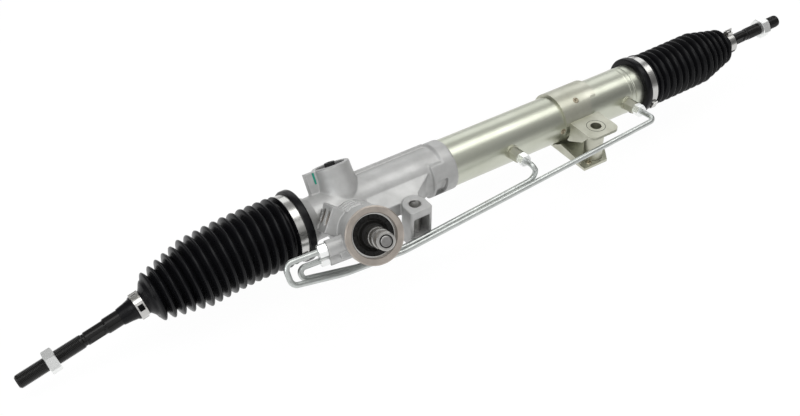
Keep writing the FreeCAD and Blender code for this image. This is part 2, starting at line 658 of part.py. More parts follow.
def clamp_ring(low, high, seat_r, ear_angle, ear_width, ear_height):
    """Sheet band with one pinched ear standing on it."""
    outer = seat_r + CLAMP_SHEET
    band = ring(low, high, outer, seat_r)
    half = ear_width / 2
    middle = (low + high) / 2
    reach = (high - low) / 2 - 0.8
    ear = block((outer - 1, outer + ear_height), (-half, half), (middle - reach, middle + reach))
    hollow = block((outer, outer + ear_height - CLAMP_SHEET), (-half + CLAMP_SHEET, half - CLAMP_SHEET),
                   (low - 1, high + 1))
    bore = rod(low - 1, high + 1, seat_r)
    ear = ear.cut([hollow, bore])
    ear.rotate(Vec(0, 0, 0), Vec(0, 0, 1), ear_angle)
    return fused([band, ear])


# Boots
def thin_ring(outline, inner):
    """Turned sleeve between an outer and an inner line of (height, radius) corners."""
    return revolved(outline + inner[::-1])


def bent_corners(start, start_way, end, end_way, count, sag):
    """Corners along a curve that leaves one axis, hangs a little and arrives on another."""
    pull = (end - start).Length / 3
    first = start + start_way * pull
    last = end - end_way * pull - Vec(0, 0, sag)
    corners = []
    for step in range(count + 1):
        t = step / count
        u = 1 - t
        corners.append(start * u**3 + first * (3 * u * u * t) + last * (3 * u * t * t) + end * t**3)
    return corners


def bellows(cuff, collar, corners, cuff_way, collar_way, small_crest, taper, big_crest):
    """Cuff, one thin fold between each two corners, and collar, joined in mitred necks."""
    folds = len(corners) - 1
    crests = [min(big_crest, small_crest + taper * (folds - 1 - fold)) for fold in range(folds)]
    valleys = [crest - BOOT_DEPTH for crest in crests] + [small_crest - BOOT_DEPTH]
    pieces = [cuff(valleys[0])]
    ways = [cuff_way]
    for fold in range(folds):
        way = corners[fold + 1] - corners[fold]
        span = way.Length
        outline = [(-BOOT_MITRE, valleys[fold]), (BOOT_NECK, valleys[fold]), (span / 2, crests[fold]),
                   (span - BOOT_NECK, valleys[fold + 1]), (span + BOOT_MITRE, valleys[fold + 1])]
        inner = [(at, radius - BOOT_WALL) for at, radius in outline]
        place = frame(corners[fold], way.normalize(), Vec(0, 1, 0))
        pieces.append(placed(place, thin_ring(outline, inner)))
        ways.append(way)
    pieces.append(collar(valleys[folds]))
    ways.append(collar_way)
    reach = 3 * BOOT_MITRE
    for seam, corner in enumerate(corners):
        place = frame(corner, (ways[seam] + ways[seam + 1]).normalize(), Vec(0, 1, 0))
        pieces[seam] = cut(pieces[seam], [placed(place, rod(0, reach, 2 * big_crest))])
        pieces[seam + 1] = cut(pieces[seam + 1], [placed(place, rod(-reach, 0, 2 * big_crest))])
    return fused(pieces)


def boot_cuff(place, seat_r, band_at, wide):
    """Thick cuff with a lip and a groove for the clamp, up to its first valley."""
    band_end = band_at + CLAMP_WIDTH

    def cuff(valley):
        lip = seat_r + BOOT_LIP
        groove = seat_r + wide
        last = band_end + BOOT_CUFF_GAP
        outline = [(0, lip - BOOT_LIP_ROUND), (BOOT_LIP_ROUND, lip), (band_at - 1, lip), (band_at, groove),
                   (band_end, groove), (last - BOOT_NECK, valley), (last + BOOT_MITRE, valley)]
        inner = [(0, seat_r), (band_end, seat_r), (last - BOOT_NECK, valley - BOOT_WALL),
                 (last + BOOT_MITRE, valley - BOOT_WALL)]
        return placed(place, thin_ring(outline, inner))

    return cuff


def boot_collar(place, folds_end, clamp_at, tail):
    """Taper from the last valley to a sleeve on the rod."""
    bore = ROD_R + 2 * RUN
    clamp_end = clamp_at + CLAMP_WIDTH + 1

    def collar(valley):
        outline = [(folds_end - BOOT_MITRE, valley), (folds_end + BOOT_NECK, valley),
                   (clamp_at - 1, SMALL_SEAT_R), (clamp_end, SMALL_SEAT_R)] + tail
        inner = [(folds_end - BOOT_MITRE, valley - BOOT_WALL), (folds_end + BOOT_NECK, valley - BOOT_WALL),
                 (clamp_at - 1, bore), (outline[-1][0], bore)]
        return placed(place, thin_ring(outline, inner))

    return collar


def left_boot():
    """Three straight folds on the housing, then folds that turn down onto the rod."""
    back = Vec(-1, 0, 0)
    first = Vec(COLLAR_X - LEFT_BAND_AT - CLAMP_WIDTH - BOOT_CUFF_GAP, 0, 0)
    bend = first + back * (LEFT_STRAIGHT_FOLDS * LEFT_PITCH)
    end = Vec(LEFT_BALL_X, 0, 0) + LEFT_ROD_WAY * LEFT_FOLDS_END
    corners = [first + back * (fold * LEFT_PITCH) for fold in range(LEFT_STRAIGHT_FOLDS)]
    corners += bent_corners(bend, back, end, LEFT_ROD_WAY, LEFT_FOLDS - LEFT_STRAIGHT_FOLDS, LEFT_SAG)
    cuff = boot_cuff(frame(Vec(COLLAR_X, 0, 0), back, Vec(0, 1, 0)), SPIGOT_R, LEFT_BAND_AT, BOOT_SEAT)
    end_of_clamp = LEFT_CLAMP_AT + CLAMP_WIDTH
    tail = [(end_of_clamp + 2, 10.9), (end_of_clamp + 9, 9.4), (end_of_clamp + 17, ROD_R + 0.5)]
    collar = boot_collar(LEFT_ROD, LEFT_FOLDS_END, LEFT_CLAMP_AT, tail)
    return bellows(cuff, collar, corners, back, LEFT_ROD_WAY, LEFT_SMALL_CREST_R, LEFT_TAPER, LEFT_CREST_R)


def right_boot():
    """Folds from the cylinder to a collar on the rod."""
    out = Vec(1, 0, 0)
    start = Vec(RIGHT_STOP_X + RIGHT_CUFF_PAST, 0, 0)
    first = start + out * (RIGHT_BAND_AT + CLAMP_WIDTH + BOOT_CUFF_GAP)
    end = Vec(RIGHT_BALL_X, 0, 0) + RIGHT_ROD_WAY * RIGHT_FOLDS_END
    corners = bent_corners(first, out, end, RIGHT_ROD_WAY, RIGHT_FOLDS, 0)
    cuff = boot_cuff(frame(start, out, Vec(0, 1, 0)), TUBE_R, RIGHT_BAND_AT, BOOT_SEAT + 1)
    collar = boot_collar(RIGHT_ROD, RIGHT_FOLDS_END, RIGHT_CLAMP_AT, [])
    return bellows(cuff, collar, corners, out, RIGHT_ROD_WAY, RIGHT_SMALL_CREST_R, RIGHT_TAPER, RIGHT_CREST_R)


# Seals, guides and rings inside the cylinder
def inner_bulkhead():
    low, high = BULKHEAD_X, BULKHEAD_X + BULKHEAD_LENGTH
    return placed(RACK, revolved([
        (low, BAR_R + RUN), (low, CYLINDER_BORE_R), (high, CYLINDER_BORE_R), (high, SEAL_R),
        (high - 7, SEAL_R), (high - 7, BAR_R + RUN)]))


def bulkhead_seal():
    high = BULKHEAD_X + BULKHEAD_LENGTH
    return placed(RACK, ring(high - 7, high - 0.5, SEAL_R, BAR_R + RUN))


def outer_gland():
    high = RIGHT_STOP_X
    low = high - GLAND_LENGTH
    return placed(RACK, revolved([
        (low + 6, BAR_R + RUN), (low + 6, SEAL_R), (low, SEAL_R), (low, CYLINDER_BORE_R),
        (high, CYLINDER_BORE_R), (high, WASHER_R + 0.6), (high - 3.2, WASHER_R + 0.6),
        (high - 3.2, BAR_R + RUN)]))


def gland_seal():
    low = RIGHT_STOP_X - GLAND_LENGTH
    return placed(RACK, ring(low + 0.5, low + 6, SEAL_R, BAR_R + RUN))


def gland_ring():
    low = RIGHT_STOP_X
    return placed(RACK, ring(low, low + 2, CYLINDER_BORE_R + 1, SOCKET_R + 1.5))


def rack_bushing():
    low = LEFT_STOP_X + WASHER_THICKNESS + 2
    return placed(RACK, ring(low, low + BUSHING_LENGTH, HOUSING_BORE_R, BAR_R + RUN))


# Yoke that holds the rack against the pinion
def rack_yoke():
    yoke = rod(2, 27, YOKE_BORE_R - RUN)
    groove = Part.makeCylinder(BAR_R + 0.9, 4 * BAR_R, Vec(-2 * BAR_R, 0, 0), Vec(1, 0, 0))
    return placed(TOWER, cut(yoke, [groove, rod(19, 28, 9)]))


def yoke_liner():
    shell = placed(frame(Vec(0, 0, 0), Vec(1, 0, 0), Vec(0, 1, 0)), ring(-20, 20, BAR_R + 0.9, BAR_R + RUN))
    liner = shell.common(rod(2, 27, YOKE_BORE_R - RUN))
    return placed(TOWER, liner)


def yoke_spring():
    """Stack of dished washers between the yoke and its plug."""
    washers = []
    height = (YOKE_PLUG_LOW - 19) / 4
    for number in range(4):
        low = 19 + number * height
        wide, narrow = (8.5, 4.5) if number % 2 == 0 else (4.5, 8.5)
        washers.append(revolved([(low, wide), (low + 1.2, wide), (low + height, narrow),
                                 (low + height - 1.2, narrow)]))
    return placed(TOWER, Part.makeCompound(washers))


def yoke_plug():
    disc = rod(YOKE_PLUG_LOW, TOWER_TOP - 1.4, YOKE_BORE_R)
    boss = hexagon(11.0, TOWER_TOP - 3, TOWER_TOP + 2.6)
    return placed(TOWER, cut(fused([disc, boss]), [hexagon(5.0, TOWER_TOP - 1, TOWER_TOP + 3)]))


# Pinion, valve and input shaft
def involute(angle):
    return math.tan(angle) - angle


def pinion_gear():
    """Straight pinion teeth with involute flanks."""
    base_r = PITCH_R * cos(PRESSURE_ANGLE)
    root_r = PITCH_R - (1.25 - PROFILE_SHIFT) * MODULE
    half_at_pitch = (TOOTH_THICKNESS - BACKLASH) / 2 / PITCH_R
    half_at_base = half_at_pitch + involute(math.radians(PRESSURE_ANGLE))
    steps = 4
    flank = []
    for step in range(steps + 1):
        radius = base_r + (PINION_TIP_R - base_r) * step / steps
        half = half_at_base - involute(math.acos(base_r / radius))
        flank.append((radius, half))

    def at(radius, angle):
        return Vec(radius * math.sin(angle), radius * math.cos(angle), -GEAR_HALF)

    root_half = half_at_base + 0.03
    tooth_angle = 2 * math.pi / PINION_TEETH
    edges = []
    for number in range(PINION_TEETH):
        middle = number * tooth_angle
        rising = [at(radius, middle - half) for radius, half in flank]
        falling = [at(radius, middle + half) for radius, half in reversed(flank)]
        foot_in = at(root_r, middle - root_half)
        foot_out = at(root_r, middle + root_half)
        next_foot = at(root_r, middle + tooth_angle - root_half)
        for line in (rising, falling):
            curve = Part.BSplineCurve()
            curve.interpolate(line)
            if line is rising:
                edges.append(Part.makeLine(foot_in, rising[0]))
                edges.append(curve.toShape())
                edges.append(Part.makeLine(rising[-1], falling[0]))
            else:
                edges.append(curve.toShape())
                edges.append(Part.makeLine(falling[-1], foot_out))
        edges.append(Part.makeLine(foot_out, next_foot))
    outline = Part.Wire(edges)
    return Part.Face(outline).extrude(Vec(0, 0, 2 * GEAR_HALF))


def pinion():
    shaft = revolved([
        (CASE_BOTTOM + 7, 0), (CASE_BOTTOM + 7, NUT_THREAD_R), (BEARING_LOW[0], NUT_THREAD_R),
        (BEARING_LOW[0], LOW_JOURNAL_R), (-GEAR_HALF, LOW_JOURNAL_R), (-GEAR_HALF, LOW_JOURNAL_R + 0.5),
        (GEAR_HALF, LOW_JOURNAL_R + 0.5), (GEAR_HALF, HIGH_JOURNAL_R - 1),
        (BEARING_HIGH[0], HIGH_JOURNAL_R - 1), (BEARING_HIGH[0], HIGH_JOURNAL_R),
        (PINION_HEAD[0], HIGH_JOURNAL_R), (PINION_HEAD[0], PINION_HEAD_R),
        (PINION_HEAD[1], PINION_HEAD_R), (PINION_HEAD[1], 0)])
    hole = rod(22, PINION_HEAD[1] + 1, TORSION_BAR_R + 1.3 + RUN)
    return placed(PINION, cut(fused([shaft, pinion_gear()]), [hole]))


def pinion_nut():
    nut = hexagon(17.0, BEARING_LOW[0] - 6.5, BEARING_LOW[0])
    return placed(PINION, cut(nut, [rod(BEARING_LOW[0] - 8, BEARING_LOW[0] + 1, NUT_THREAD_R)]))


def bearing(span, outer, inner):
    """Ball bearing with its shields set a little below the races."""
    low, high = span
    race = (outer - inner) * 0.28
    return placed(PINION, revolved([
        (low, inner), (low, inner + race), (low + 0.6, inner + race), (low + 0.6, outer - race),
        (low, outer - race), (low, outer), (high, outer), (high, outer - race), (high - 0.6, outer - race),
        (high - 0.6, inner + race), (high, inner + race), (high, inner)]))


def bottom_cap():
    low = CASE_BOTTOM
    return placed(PINION, revolved([
        (low, 6), (low, LOWER_SEAT_R + 2), (low + 4, LOWER_SEAT_R + 2), (low + 4, 0), (low + 2.5, 0),
        (low + 2.5, 6)]))


def valve_sleeve():
    low, high = VALVE_SLEEVE
    sleeve = revolved([
        (low, PINION_HEAD_R), (low, SLEEVE_OUTER_R), (high, SLEEVE_OUTER_R), (high, ROTOR_R),
        (PINION_HEAD[1], ROTOR_R), (PINION_HEAD[1], PINION_HEAD_R)])
    grooves = [ring(z, z + 2.5, SLEEVE_OUTER_R + 1, SLEEVE_OUTER_R - 1.2) for z in SLEEVE_RING_HEIGHTS]
    return placed(PINION, cut(sleeve, grooves))


def sleeve_rings():
    rings = [ring(z, z + 2.5, VALVE_BORE_R - RUN, SLEEVE_OUTER_R - 1.2) for z in SLEEVE_RING_HEIGHTS]
    return placed(PINION, Part.makeCompound(rings))


def input_shaft():
    end = SHAFT_END
    shaft = revolved([
        (PINION_HEAD[1] + 0.4, 0), (PINION_HEAD[1] + 0.4, ROTOR_R - RUN),
        (BEARING_TOP[0] - 0.5, ROTOR_R - RUN),
        (BEARING_TOP[0] - 0.5, SHAFT_R), (end - 32, SHAFT_R), (end - 31.4, SPLINE_R),
        (end - 18.4, SPLINE_R), (end - 17.2, SPLINE_R - 0.8), (end - 12.6, SPLINE_R - 0.8),
        (end - 12, TIP_R), (end - 1, TIP_R), (end, TIP_R - 1), (end, 0)])
    holes = [rod(PINION_HEAD[1], end + 1, TORSION_BAR_R + 0.8), rod(end - 10, end + 1, TORSION_BAR_R + 2.6),
             ring(end - 2, end + 1, TORSION_BAR_R + 3.4, TORSION_BAR_R)]
    return placed(PINION, cut(shaft, holes))


def torsion_bar():
    end = SHAFT_END
    head = TORSION_BAR_R + 2.6
    foot = TORSION_BAR_R + 1.3
    return placed(PINION, revolved([
        (22.4, 0), (22.4, foot), (38, foot), (39, TORSION_BAR_R), (end - 10, TORSION_BAR_R), (end - 10, head),
        (end - 0.6, head), (end, head - 0.6), (end, 0)]))


def shaft_seal():
    high = MOUTH_FLOOR
    low = BEARING_TOP[1]
    return placed(PINION, revolved([
        (low, SHAFT_R + 4), (low, VALVE_BORE_R), (high, VALVE_BORE_R), (high, SHAFT_R + RUN),
        (high - 2, SHAFT_R + RUN), (high - 2, SHAFT_R + 4)]))


def dust_seal():
    low = MOUTH_FLOOR
    return placed(PINION, revolved([
        (low, SHAFT_R + RUN), (low, MOUTH_RECESS_R), (low + 2.4, MOUTH_RECESS_R), (low + 1.6, SHAFT_R + 6),
        (low + 3.0, SHAFT_R + 4), (low + 7.0, SHAFT_R + 1.9), (low + 7.0, SHAFT_R + RUN)]))


def snap_ring():
    low = MOUTH_FLOOR + 2.4
    return placed(PINION, ring(low, low + 1.4, MOUTH_RECESS_R, MOUTH_RECESS_R - 1.8))


PIECES = {
    "gear_housing": gear_housing,
    "cylinder_tube": cylinder_tube,
    "near_port_boss": lambda: port_boss(PORT_X[0]),
    "far_port_boss": lambda: port_boss(PORT_X[1]),
    "bracket_saddle": bracket_saddle,
    "bracket_upper_plate": bracket_upper_plate,
    "bracket_lower_plate": bracket_lower_plate,
    "bracket_sleeve": bracket_sleeve,
    "long_pipe": long_pipe,
    "short_pipe": short_pipe,
    "tube_nuts": tube_nuts,
    "inner_bulkhead": inner_bulkhead,
    "bulkhead_seal": bulkhead_seal,
    "outer_gland": outer_gland,
    "gland_seal": gland_seal,
    "gland_ring": gland_ring,
    "rack_bushing": rack_bushing,
    "rack_yoke": rack_yoke,
    "yoke_liner": yoke_liner,
    "yoke_spring": yoke_spring,
    "yoke_plug": yoke_plug,
    "bottom_cap": bottom_cap,
    "lower_bearing": lambda: bearing(BEARING_LOW, LOWER_SEAT_R, LOW_JOURNAL_R + RUN),
    "upper_bearing": lambda: bearing(BEARING_HIGH, VALVE_BORE_R, HIGH_JOURNAL_R + RUN),
    "input_bearing": lambda: bearing(BEARING_TOP, VALVE_BORE_R, SHAFT_R + RUN),
    "shaft_seal": shaft_seal,
    "dust_seal": dust_seal,
    "snap_ring": snap_ring,
    "rack_bar": rack_bar,
    "piston": piston,
    "piston_ring": piston_ring,
    "left_socket": lambda: socket(LEFT_BALL),
    "right_socket": lambda: socket(RIGHT_BALL),
    "left_lock_washer": lambda: lock_washer(LEFT_BALL),
    "right_lock_washer": lambda: lock_washer(RIGHT_BALL),
    "left_ball_seat": lambda: ball_seat(LEFT_ROD),
    "right_ball_seat": lambda: ball_seat(RIGHT_ROD),
    "pinion": pinion,
    "pinion_nut": pinion_nut,
    "valve_sleeve": valve_sleeve,
    "sleeve_rings": sleeve_rings,
    "input_shaft": input_shaft,
    "torsion_bar": torsion_bar,
    "left_tie_rod": lambda: tie_rod(LEFT_ROD, LEFT_ROD_LENGTH, ROD_BODY_END, LEFT_SMOOTH_END),
    "right_tie_rod": lambda: tie_rod(RIGHT_ROD, RIGHT_ROD_LENGTH, ROD_BODY_END, RIGHT_SMOOTH_END),
    "left_jam_nut": lambda: jam_nut(LEFT_ROD, LEFT_ROD_LENGTH - LEFT_NUT_BACK),
    "right_jam_nut": lambda: jam_nut(RIGHT_ROD, RIGHT_ROD_LENGTH - RIGHT_NUT_BACK),
    "left_small_clamp": lambda: placed(LEFT_ROD, clamp_ring(
        LEFT_CLAMP_AT, LEFT_CLAMP_AT + CLAMP_WIDTH, SMALL_SEAT_R + RUN, 90, 8, 3.4)),
    "right_small_clamp": lambda: placed(RIGHT_ROD, clamp_ring(
        RIGHT_CLAMP_AT, RIGHT_CLAMP_AT + CLAMP_WIDTH, SMALL_SEAT_R + RUN, 90, 8, 3.4)),
    "left_big_clamp": lambda: placed(RACK, clamp_ring(
        LEFT_BAND_END, LEFT_BAND_END + CLAMP_WIDTH, SPIGOT_R + BOOT_SEAT, 200, 9, 3.0)),
    "right_big_clamp": lambda: placed(RACK, clamp_ring(
        RIGHT_BAND_START, RIGHT_BAND_START + CLAMP_WIDTH, TUBE_R + BOOT_SEAT + 1, 200, 9, 3.0)),
    "left_boot": left_boot,
    "right_boot": right_boot,
}


def main():
    os.makedirs("parts", exist_ok=True)
    onto_ear = Vec(EAR_TO_FLANGE, BOLT_TO_RACK, 0)
    for name, make in PIECES.items():
        shape = make()
        shape.translate(onto_ear)
        shape.exportStep(os.path.join("parts", name + ".step"))
        print(name, "valid" if shape.isValid() else "NOT VALID", len(shape.Solids), round(shape.Volume))


main()
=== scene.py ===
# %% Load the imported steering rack
import json
import math

import bmesh
import bpy
from mathutils import Matrix, Vector


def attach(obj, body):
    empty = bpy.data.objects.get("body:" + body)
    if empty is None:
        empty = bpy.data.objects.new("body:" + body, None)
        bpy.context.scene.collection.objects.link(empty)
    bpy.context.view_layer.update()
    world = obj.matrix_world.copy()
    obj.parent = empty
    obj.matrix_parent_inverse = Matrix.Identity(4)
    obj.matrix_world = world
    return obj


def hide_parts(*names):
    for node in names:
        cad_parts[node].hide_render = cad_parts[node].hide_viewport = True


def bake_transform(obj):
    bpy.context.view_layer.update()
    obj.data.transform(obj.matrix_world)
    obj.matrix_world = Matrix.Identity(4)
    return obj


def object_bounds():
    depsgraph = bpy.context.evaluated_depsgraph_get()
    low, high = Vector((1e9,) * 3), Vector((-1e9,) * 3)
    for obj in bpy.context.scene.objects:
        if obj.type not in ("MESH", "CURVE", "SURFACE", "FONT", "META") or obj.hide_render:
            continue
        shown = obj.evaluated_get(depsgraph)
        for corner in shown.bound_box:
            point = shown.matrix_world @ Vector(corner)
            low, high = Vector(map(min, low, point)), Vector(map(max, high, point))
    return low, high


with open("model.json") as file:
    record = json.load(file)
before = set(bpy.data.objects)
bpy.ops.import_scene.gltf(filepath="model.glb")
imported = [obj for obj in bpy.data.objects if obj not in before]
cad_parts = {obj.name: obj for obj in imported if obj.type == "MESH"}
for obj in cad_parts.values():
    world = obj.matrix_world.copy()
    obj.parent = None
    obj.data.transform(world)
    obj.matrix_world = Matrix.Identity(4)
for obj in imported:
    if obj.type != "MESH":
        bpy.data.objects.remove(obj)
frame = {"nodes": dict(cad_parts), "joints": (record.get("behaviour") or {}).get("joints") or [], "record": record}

CAD_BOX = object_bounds()
NODES = frame["nodes"]

# %% [markdown]
# The part's own numbers come from the frame. Lengths in this lesson are written in
# millimetres along the rack's own axis, as a workshop drawing gives them, and `at` turns
# them into the frame's metres. The rack axis lies beside the mounting bolt, so the step
# from one to the other is read off the ball joints, which sit on that axis.

# %% Places on the rack
MM = 0.001
JOINTS = {joint["name"]: joint for joint in frame["joints"]}
MOUNTS = {mount["name"]: mount for mount in frame["record"]["mounts"]}
LEFT_BALL = Vector(JOINTS["left_tilt"]["pos_m"])
RIGHT_BALL = Vector(JOINTS["right_tilt"]["pos_m"])
LEFT_BALL_AT = -290.0
RACK_ORIGIN = LEFT_BALL - Vector((LEFT_BALL_AT * MM, 0, 0))
OUT = Vector((1, 0, 0))
UP = Vector((0, 0, 1))


def at(x, y=0.0, z=0.0):
    """Point in the frame from millimetres about the rack axis."""
    return RACK_ORIGIN + Vector((x, y, z)) * MM


def upright(along):
    """Turn that lays local Z along a direction and keeps local Y level."""
    z = Vector(along).normalized()
    x = Vector((0, 1, 0)).cross(z).normalized()
    return Matrix((x, z.cross(x), z)).transposed()


SHAFT_WAY = Vector(JOINTS["pinion_spin"]["axis"]).normalized()
SHAFT_FOOT = Vector(JOINTS["pinion_spin"]["pos_m"])
YOKE_WAY = Vector((0, -SHAFT_WAY.z, SHAFT_WAY.y)).normalized() * -1
LEFT_WAY = Vector(JOINTS["left_swing"]["axis"]).cross(Vector((0, 1, 0))).normalized()
RIGHT_WAY = Vector(JOINTS["right_swing"]["axis"]).cross(Vector((0, 1, 0))).normalized() * -1
print("rack origin", tuple(round(c, 4) for c in RACK_ORIGIN))
print("yoke way", tuple(round(c, 3) for c in YOKE_WAY))
print("left way", tuple(round(c, 3) for c in LEFT_WAY))
print("right way", tuple(round(c, 3) for c in RIGHT_WAY))

# %% [markdown]
# The picture is taken from the front left and well above the bench, with a lens a little
# longer than normal. The place and the focal length come from matching the bolt holes,
# the tube's outline and the threads in the photograph, so the camera is set once here and
# everything after it is judged through it.

# %% Camera
CAMERA_PLACE = at(-645.3, -872.3, 827.4)
CAMERA_TURN = 34.02
CAMERA_TILT = 39.35
FOCAL_PIXELS = 1258.0
PICTURE_WIDTH = 800
SENSOR_WIDTH = 36.0

camera_data = bpy.data.cameras.new("camera")
camera_data.sensor_width = SENSOR_WIDTH
camera_data.lens = FOCAL_PIXELS / PICTURE_WIDTH * camera_data.sensor_width
camera = bpy.data.objects.new("camera", camera_data)
bpy.context.scene.collection.objects.link(camera)
turn = math.radians(CAMERA_TURN)
tilt = math.radians(CAMERA_TILT)
LOOK = Vector((math.sin(turn) * math.cos(tilt), math.cos(turn) * math.cos(tilt), -math.sin(tilt)))
camera.location = CAMERA_PLACE
camera.rotation_euler = LOOK.to_track_quat("-Z", "Y").to_euler()
bpy.context.scene.camera = camera
print("lens", round(camera_data.lens, 2), "mm")

# %% [markdown]
# A studio shot of bright metal is mostly a picture of its surroundings. A long soft box
# hangs over the part and makes the bright band along the top of the cylinder. Three weaker
# boxes stand in front, behind and on the left, so that no side of the casting goes black.
# They are area lamps, because point lamps would leave small hot spots in the metal.

# %% Soft boxes
scene = bpy.context.scene
scene.view_settings.view_transform = "Standard"


def area_light(name, place, aim, size, power, tint):
    """Rectangular soft box that faces a point; size in metres and power in watts."""
    data = bpy.data.lights.new(name, "AREA")
    data.shape = "RECTANGLE"
    data.size, data.size_y = size
    data.energy = power
    data.color = tint
    lamp = bpy.data.objects.new(name, data)
    scene.collection.objects.link(lamp)
    lamp.location = place
    lamp.rotation_euler = (Vector(aim) - Vector(place)).to_track_quat("-Z", "Y").to_euler()


MIDDLE = at(-20, 0, 0)
FRONT = MIDDLE + Vector((0.25, 0, 0))
area_light("over_box", FRONT + Vector((0, -0.25, 1.8)), FRONT, (3.2, 0.9), 21, (1.0, 1.0, 0.985))
area_light("front_box", MIDDLE + Vector((-0.3, -1.7, 1.2)), MIDDLE, (3.2, 1.8), 11, (1.0, 1.0, 1.0))
area_light("back_box", MIDDLE + Vector((0.9, 1.7, 1.0)), MIDDLE, (2.8, 1.2), 13, (0.99, 1.0, 1.0))
area_light("left_box", MIDDLE + Vector((-1.6, -0.4, 0.9)), MIDDLE, (1.0, 1.0), 8, (0.97, 0.99, 1.0))

# %% [markdown]
# The world could be a picture of a studio, but a soft gradient by height is easier to
# adjust. It is pale low down and overhead and darker between, and that darker part gives
# the cylinder the dark band below its bright one.

# %% World
SKY = ((0.0, 0.80), (0.10, 0.50), (0.28, 0.22), (0.50, 0.26), (0.78, 0.62), (1.0, 0.80))
SKY_STRENGTH = 0.62
world = bpy.data.worlds.new("studio")
scene.world = world
world.use_nodes = True
tree = world.node_tree
background = tree.nodes["Background"]
where = tree.nodes.new("ShaderNodeTexCoord")
split = tree.nodes.new("ShaderNodeSeparateXYZ")
ramp = tree.nodes.new("ShaderNodeValToRGB")
tree.links.new(where.outputs["Generated"], split.inputs[0])
tree.links.new(split.outputs["Z"], ramp.inputs[0])
tree.links.new(ramp.outputs["Color"], background.inputs["Color"])
while len(ramp.color_ramp.elements) < len(SKY):
    ramp.color_ramp.elements.new(0.5)
for stop, (height, level) in zip(ramp.color_ramp.elements, SKY):
    stop.position = height
    stop.color = (level, level, level, 1)
background.inputs["Strength"].default_value = SKY_STRENGTH
print("sky stops", len(SKY))

# %% [markdown]
# The part is shown over a pale bench, as in a product photograph. One large flat sheet is
# enough, because its edge is never in the picture. It lies a little below the part, which
# leaves the tie rods room to tilt down.

# %% Bench
BENCH_GAP = 0.018
BENCH_SIZE = 12.0
bench_bm = bmesh.new()
bmesh.ops.create_grid(bench_bm, x_segments=1, y_segments=1, size=BENCH_SIZE)
bmesh.ops.translate(bench_bm, verts=bench_bm.verts, vec=(0, 0, CAD_BOX[0].z - BENCH_GAP))
bench_mesh = bpy.data.meshes.new("bench")
bench_bm.to_mesh(bench_mesh)
bench_bm.free()
bench = bpy.data.objects.new("bench", bench_mesh)
scene.collection.objects.link(bench)
print("bench at", round(CAD_BOX[0].z - BENCH_GAP, 4))

# %% [markdown]
# Plain white paper under these lamps would come out in grey patches. So the paper mixes a
# matte surface with a glow, and only the rays of the camera and of mirror reflections see
# the glow. The bench looks white, and all other light still bounces off the matte part.

# %% Bench paper
PAPER_TONE = 0.80
PAPER_ROUGHNESS = 0.9
PAPER_GLOW = 1.02
GLOW_SHARE = 0.95
paper = bpy.data.materials.new("bench_paper")
paper.use_nodes = True
tree = paper.node_tree
matte = tree.nodes["Principled BSDF"]
matte.inputs["Base Color"].default_value = (PAPER_TONE, PAPER_TONE, PAPER_TONE, 1)
matte.inputs["Roughness"].default_value = PAPER_ROUGHNESS
glow = tree.nodes.new("ShaderNodeEmission")
glow.inputs["Color"].default_value = (1, 1, 1, 1)
glow.inputs["Strength"].default_value = PAPER_GLOW
path = tree.nodes.new("ShaderNodeLightPath")
seen_or_mirrored = tree.nodes.new("ShaderNodeMath")
seen_or_mirrored.operation = "MAXIMUM"
seen_or_through = tree.nodes.new("ShaderNodeMath")
seen_or_through.operation = "MAXIMUM"
share = tree.nodes.new("ShaderNodeMath")
share.operation = "MULTIPLY"
share.inputs[1].default_value = GLOW_SHARE
mix = tree.nodes.new("ShaderNodeMixShader")
tree.links.new(path.outputs["Is Camera Ray"], seen_or_mirrored.inputs[0])
tree.links.new(path.outputs["Is Glossy Ray"], seen_or_mirrored.inputs[1])
tree.links.new(seen_or_mirrored.outputs[0], seen_or_through.inputs[0])
tree.links.new(path.outputs["Is Transmission Ray"], seen_or_through.inputs[1])
tree.links.new(seen_or_through.outputs[0], share.inputs[0])
tree.links.new(share.outputs[0], mix.inputs[0])
tree.links.new(matte.outputs[0], mix.inputs[1])
tree.links.new(glow.outputs[0], mix.inputs[2])
tree.links.new(mix.outputs[0], tree.nodes["Material Output"].inputs["Surface"])
bench_mesh.materials.append(paper)
print("bench material", paper.name)

# %% [markdown]
# Two effects turn up in nearly every finish here, so each is a node group that is built
# once. `cloudy` gives a slow mottle, the uneven tone of castings and plating. `grain`
# gives a fine height for bump: grit from the sand or die, the orange peel of plating, or
# the tooth of rubber. Both read object coordinates, which are real metres on this part.

# %% Shared shader groups
COARSE_SCALE = 0.28


def new_group(name, inputs, outputs):
    """Node group with float sockets, and the nodes at its two ends."""
    group = bpy.data.node_groups.new(name, "ShaderNodeTree")
    for label, value in inputs:
        socket = group.interface.new_socket(name=label, in_out="INPUT", socket_type="NodeSocketFloat")
        socket.default_value = value
    for label in outputs:
        group.interface.new_socket(name=label, in_out="OUTPUT", socket_type="NodeSocketFloat")
    return group, group.nodes.new("NodeGroupInput"), group.nodes.new("NodeGroupOutput")


def noise(tree, scale, detail, rough):
    """Noise texture node with its three main values set."""
    node = tree.nodes.new("ShaderNodeTexNoise")
    node.inputs["Scale"].default_value = scale
    node.inputs["Detail"].default_value = detail
    node.inputs["Roughness"].default_value = rough
    return node


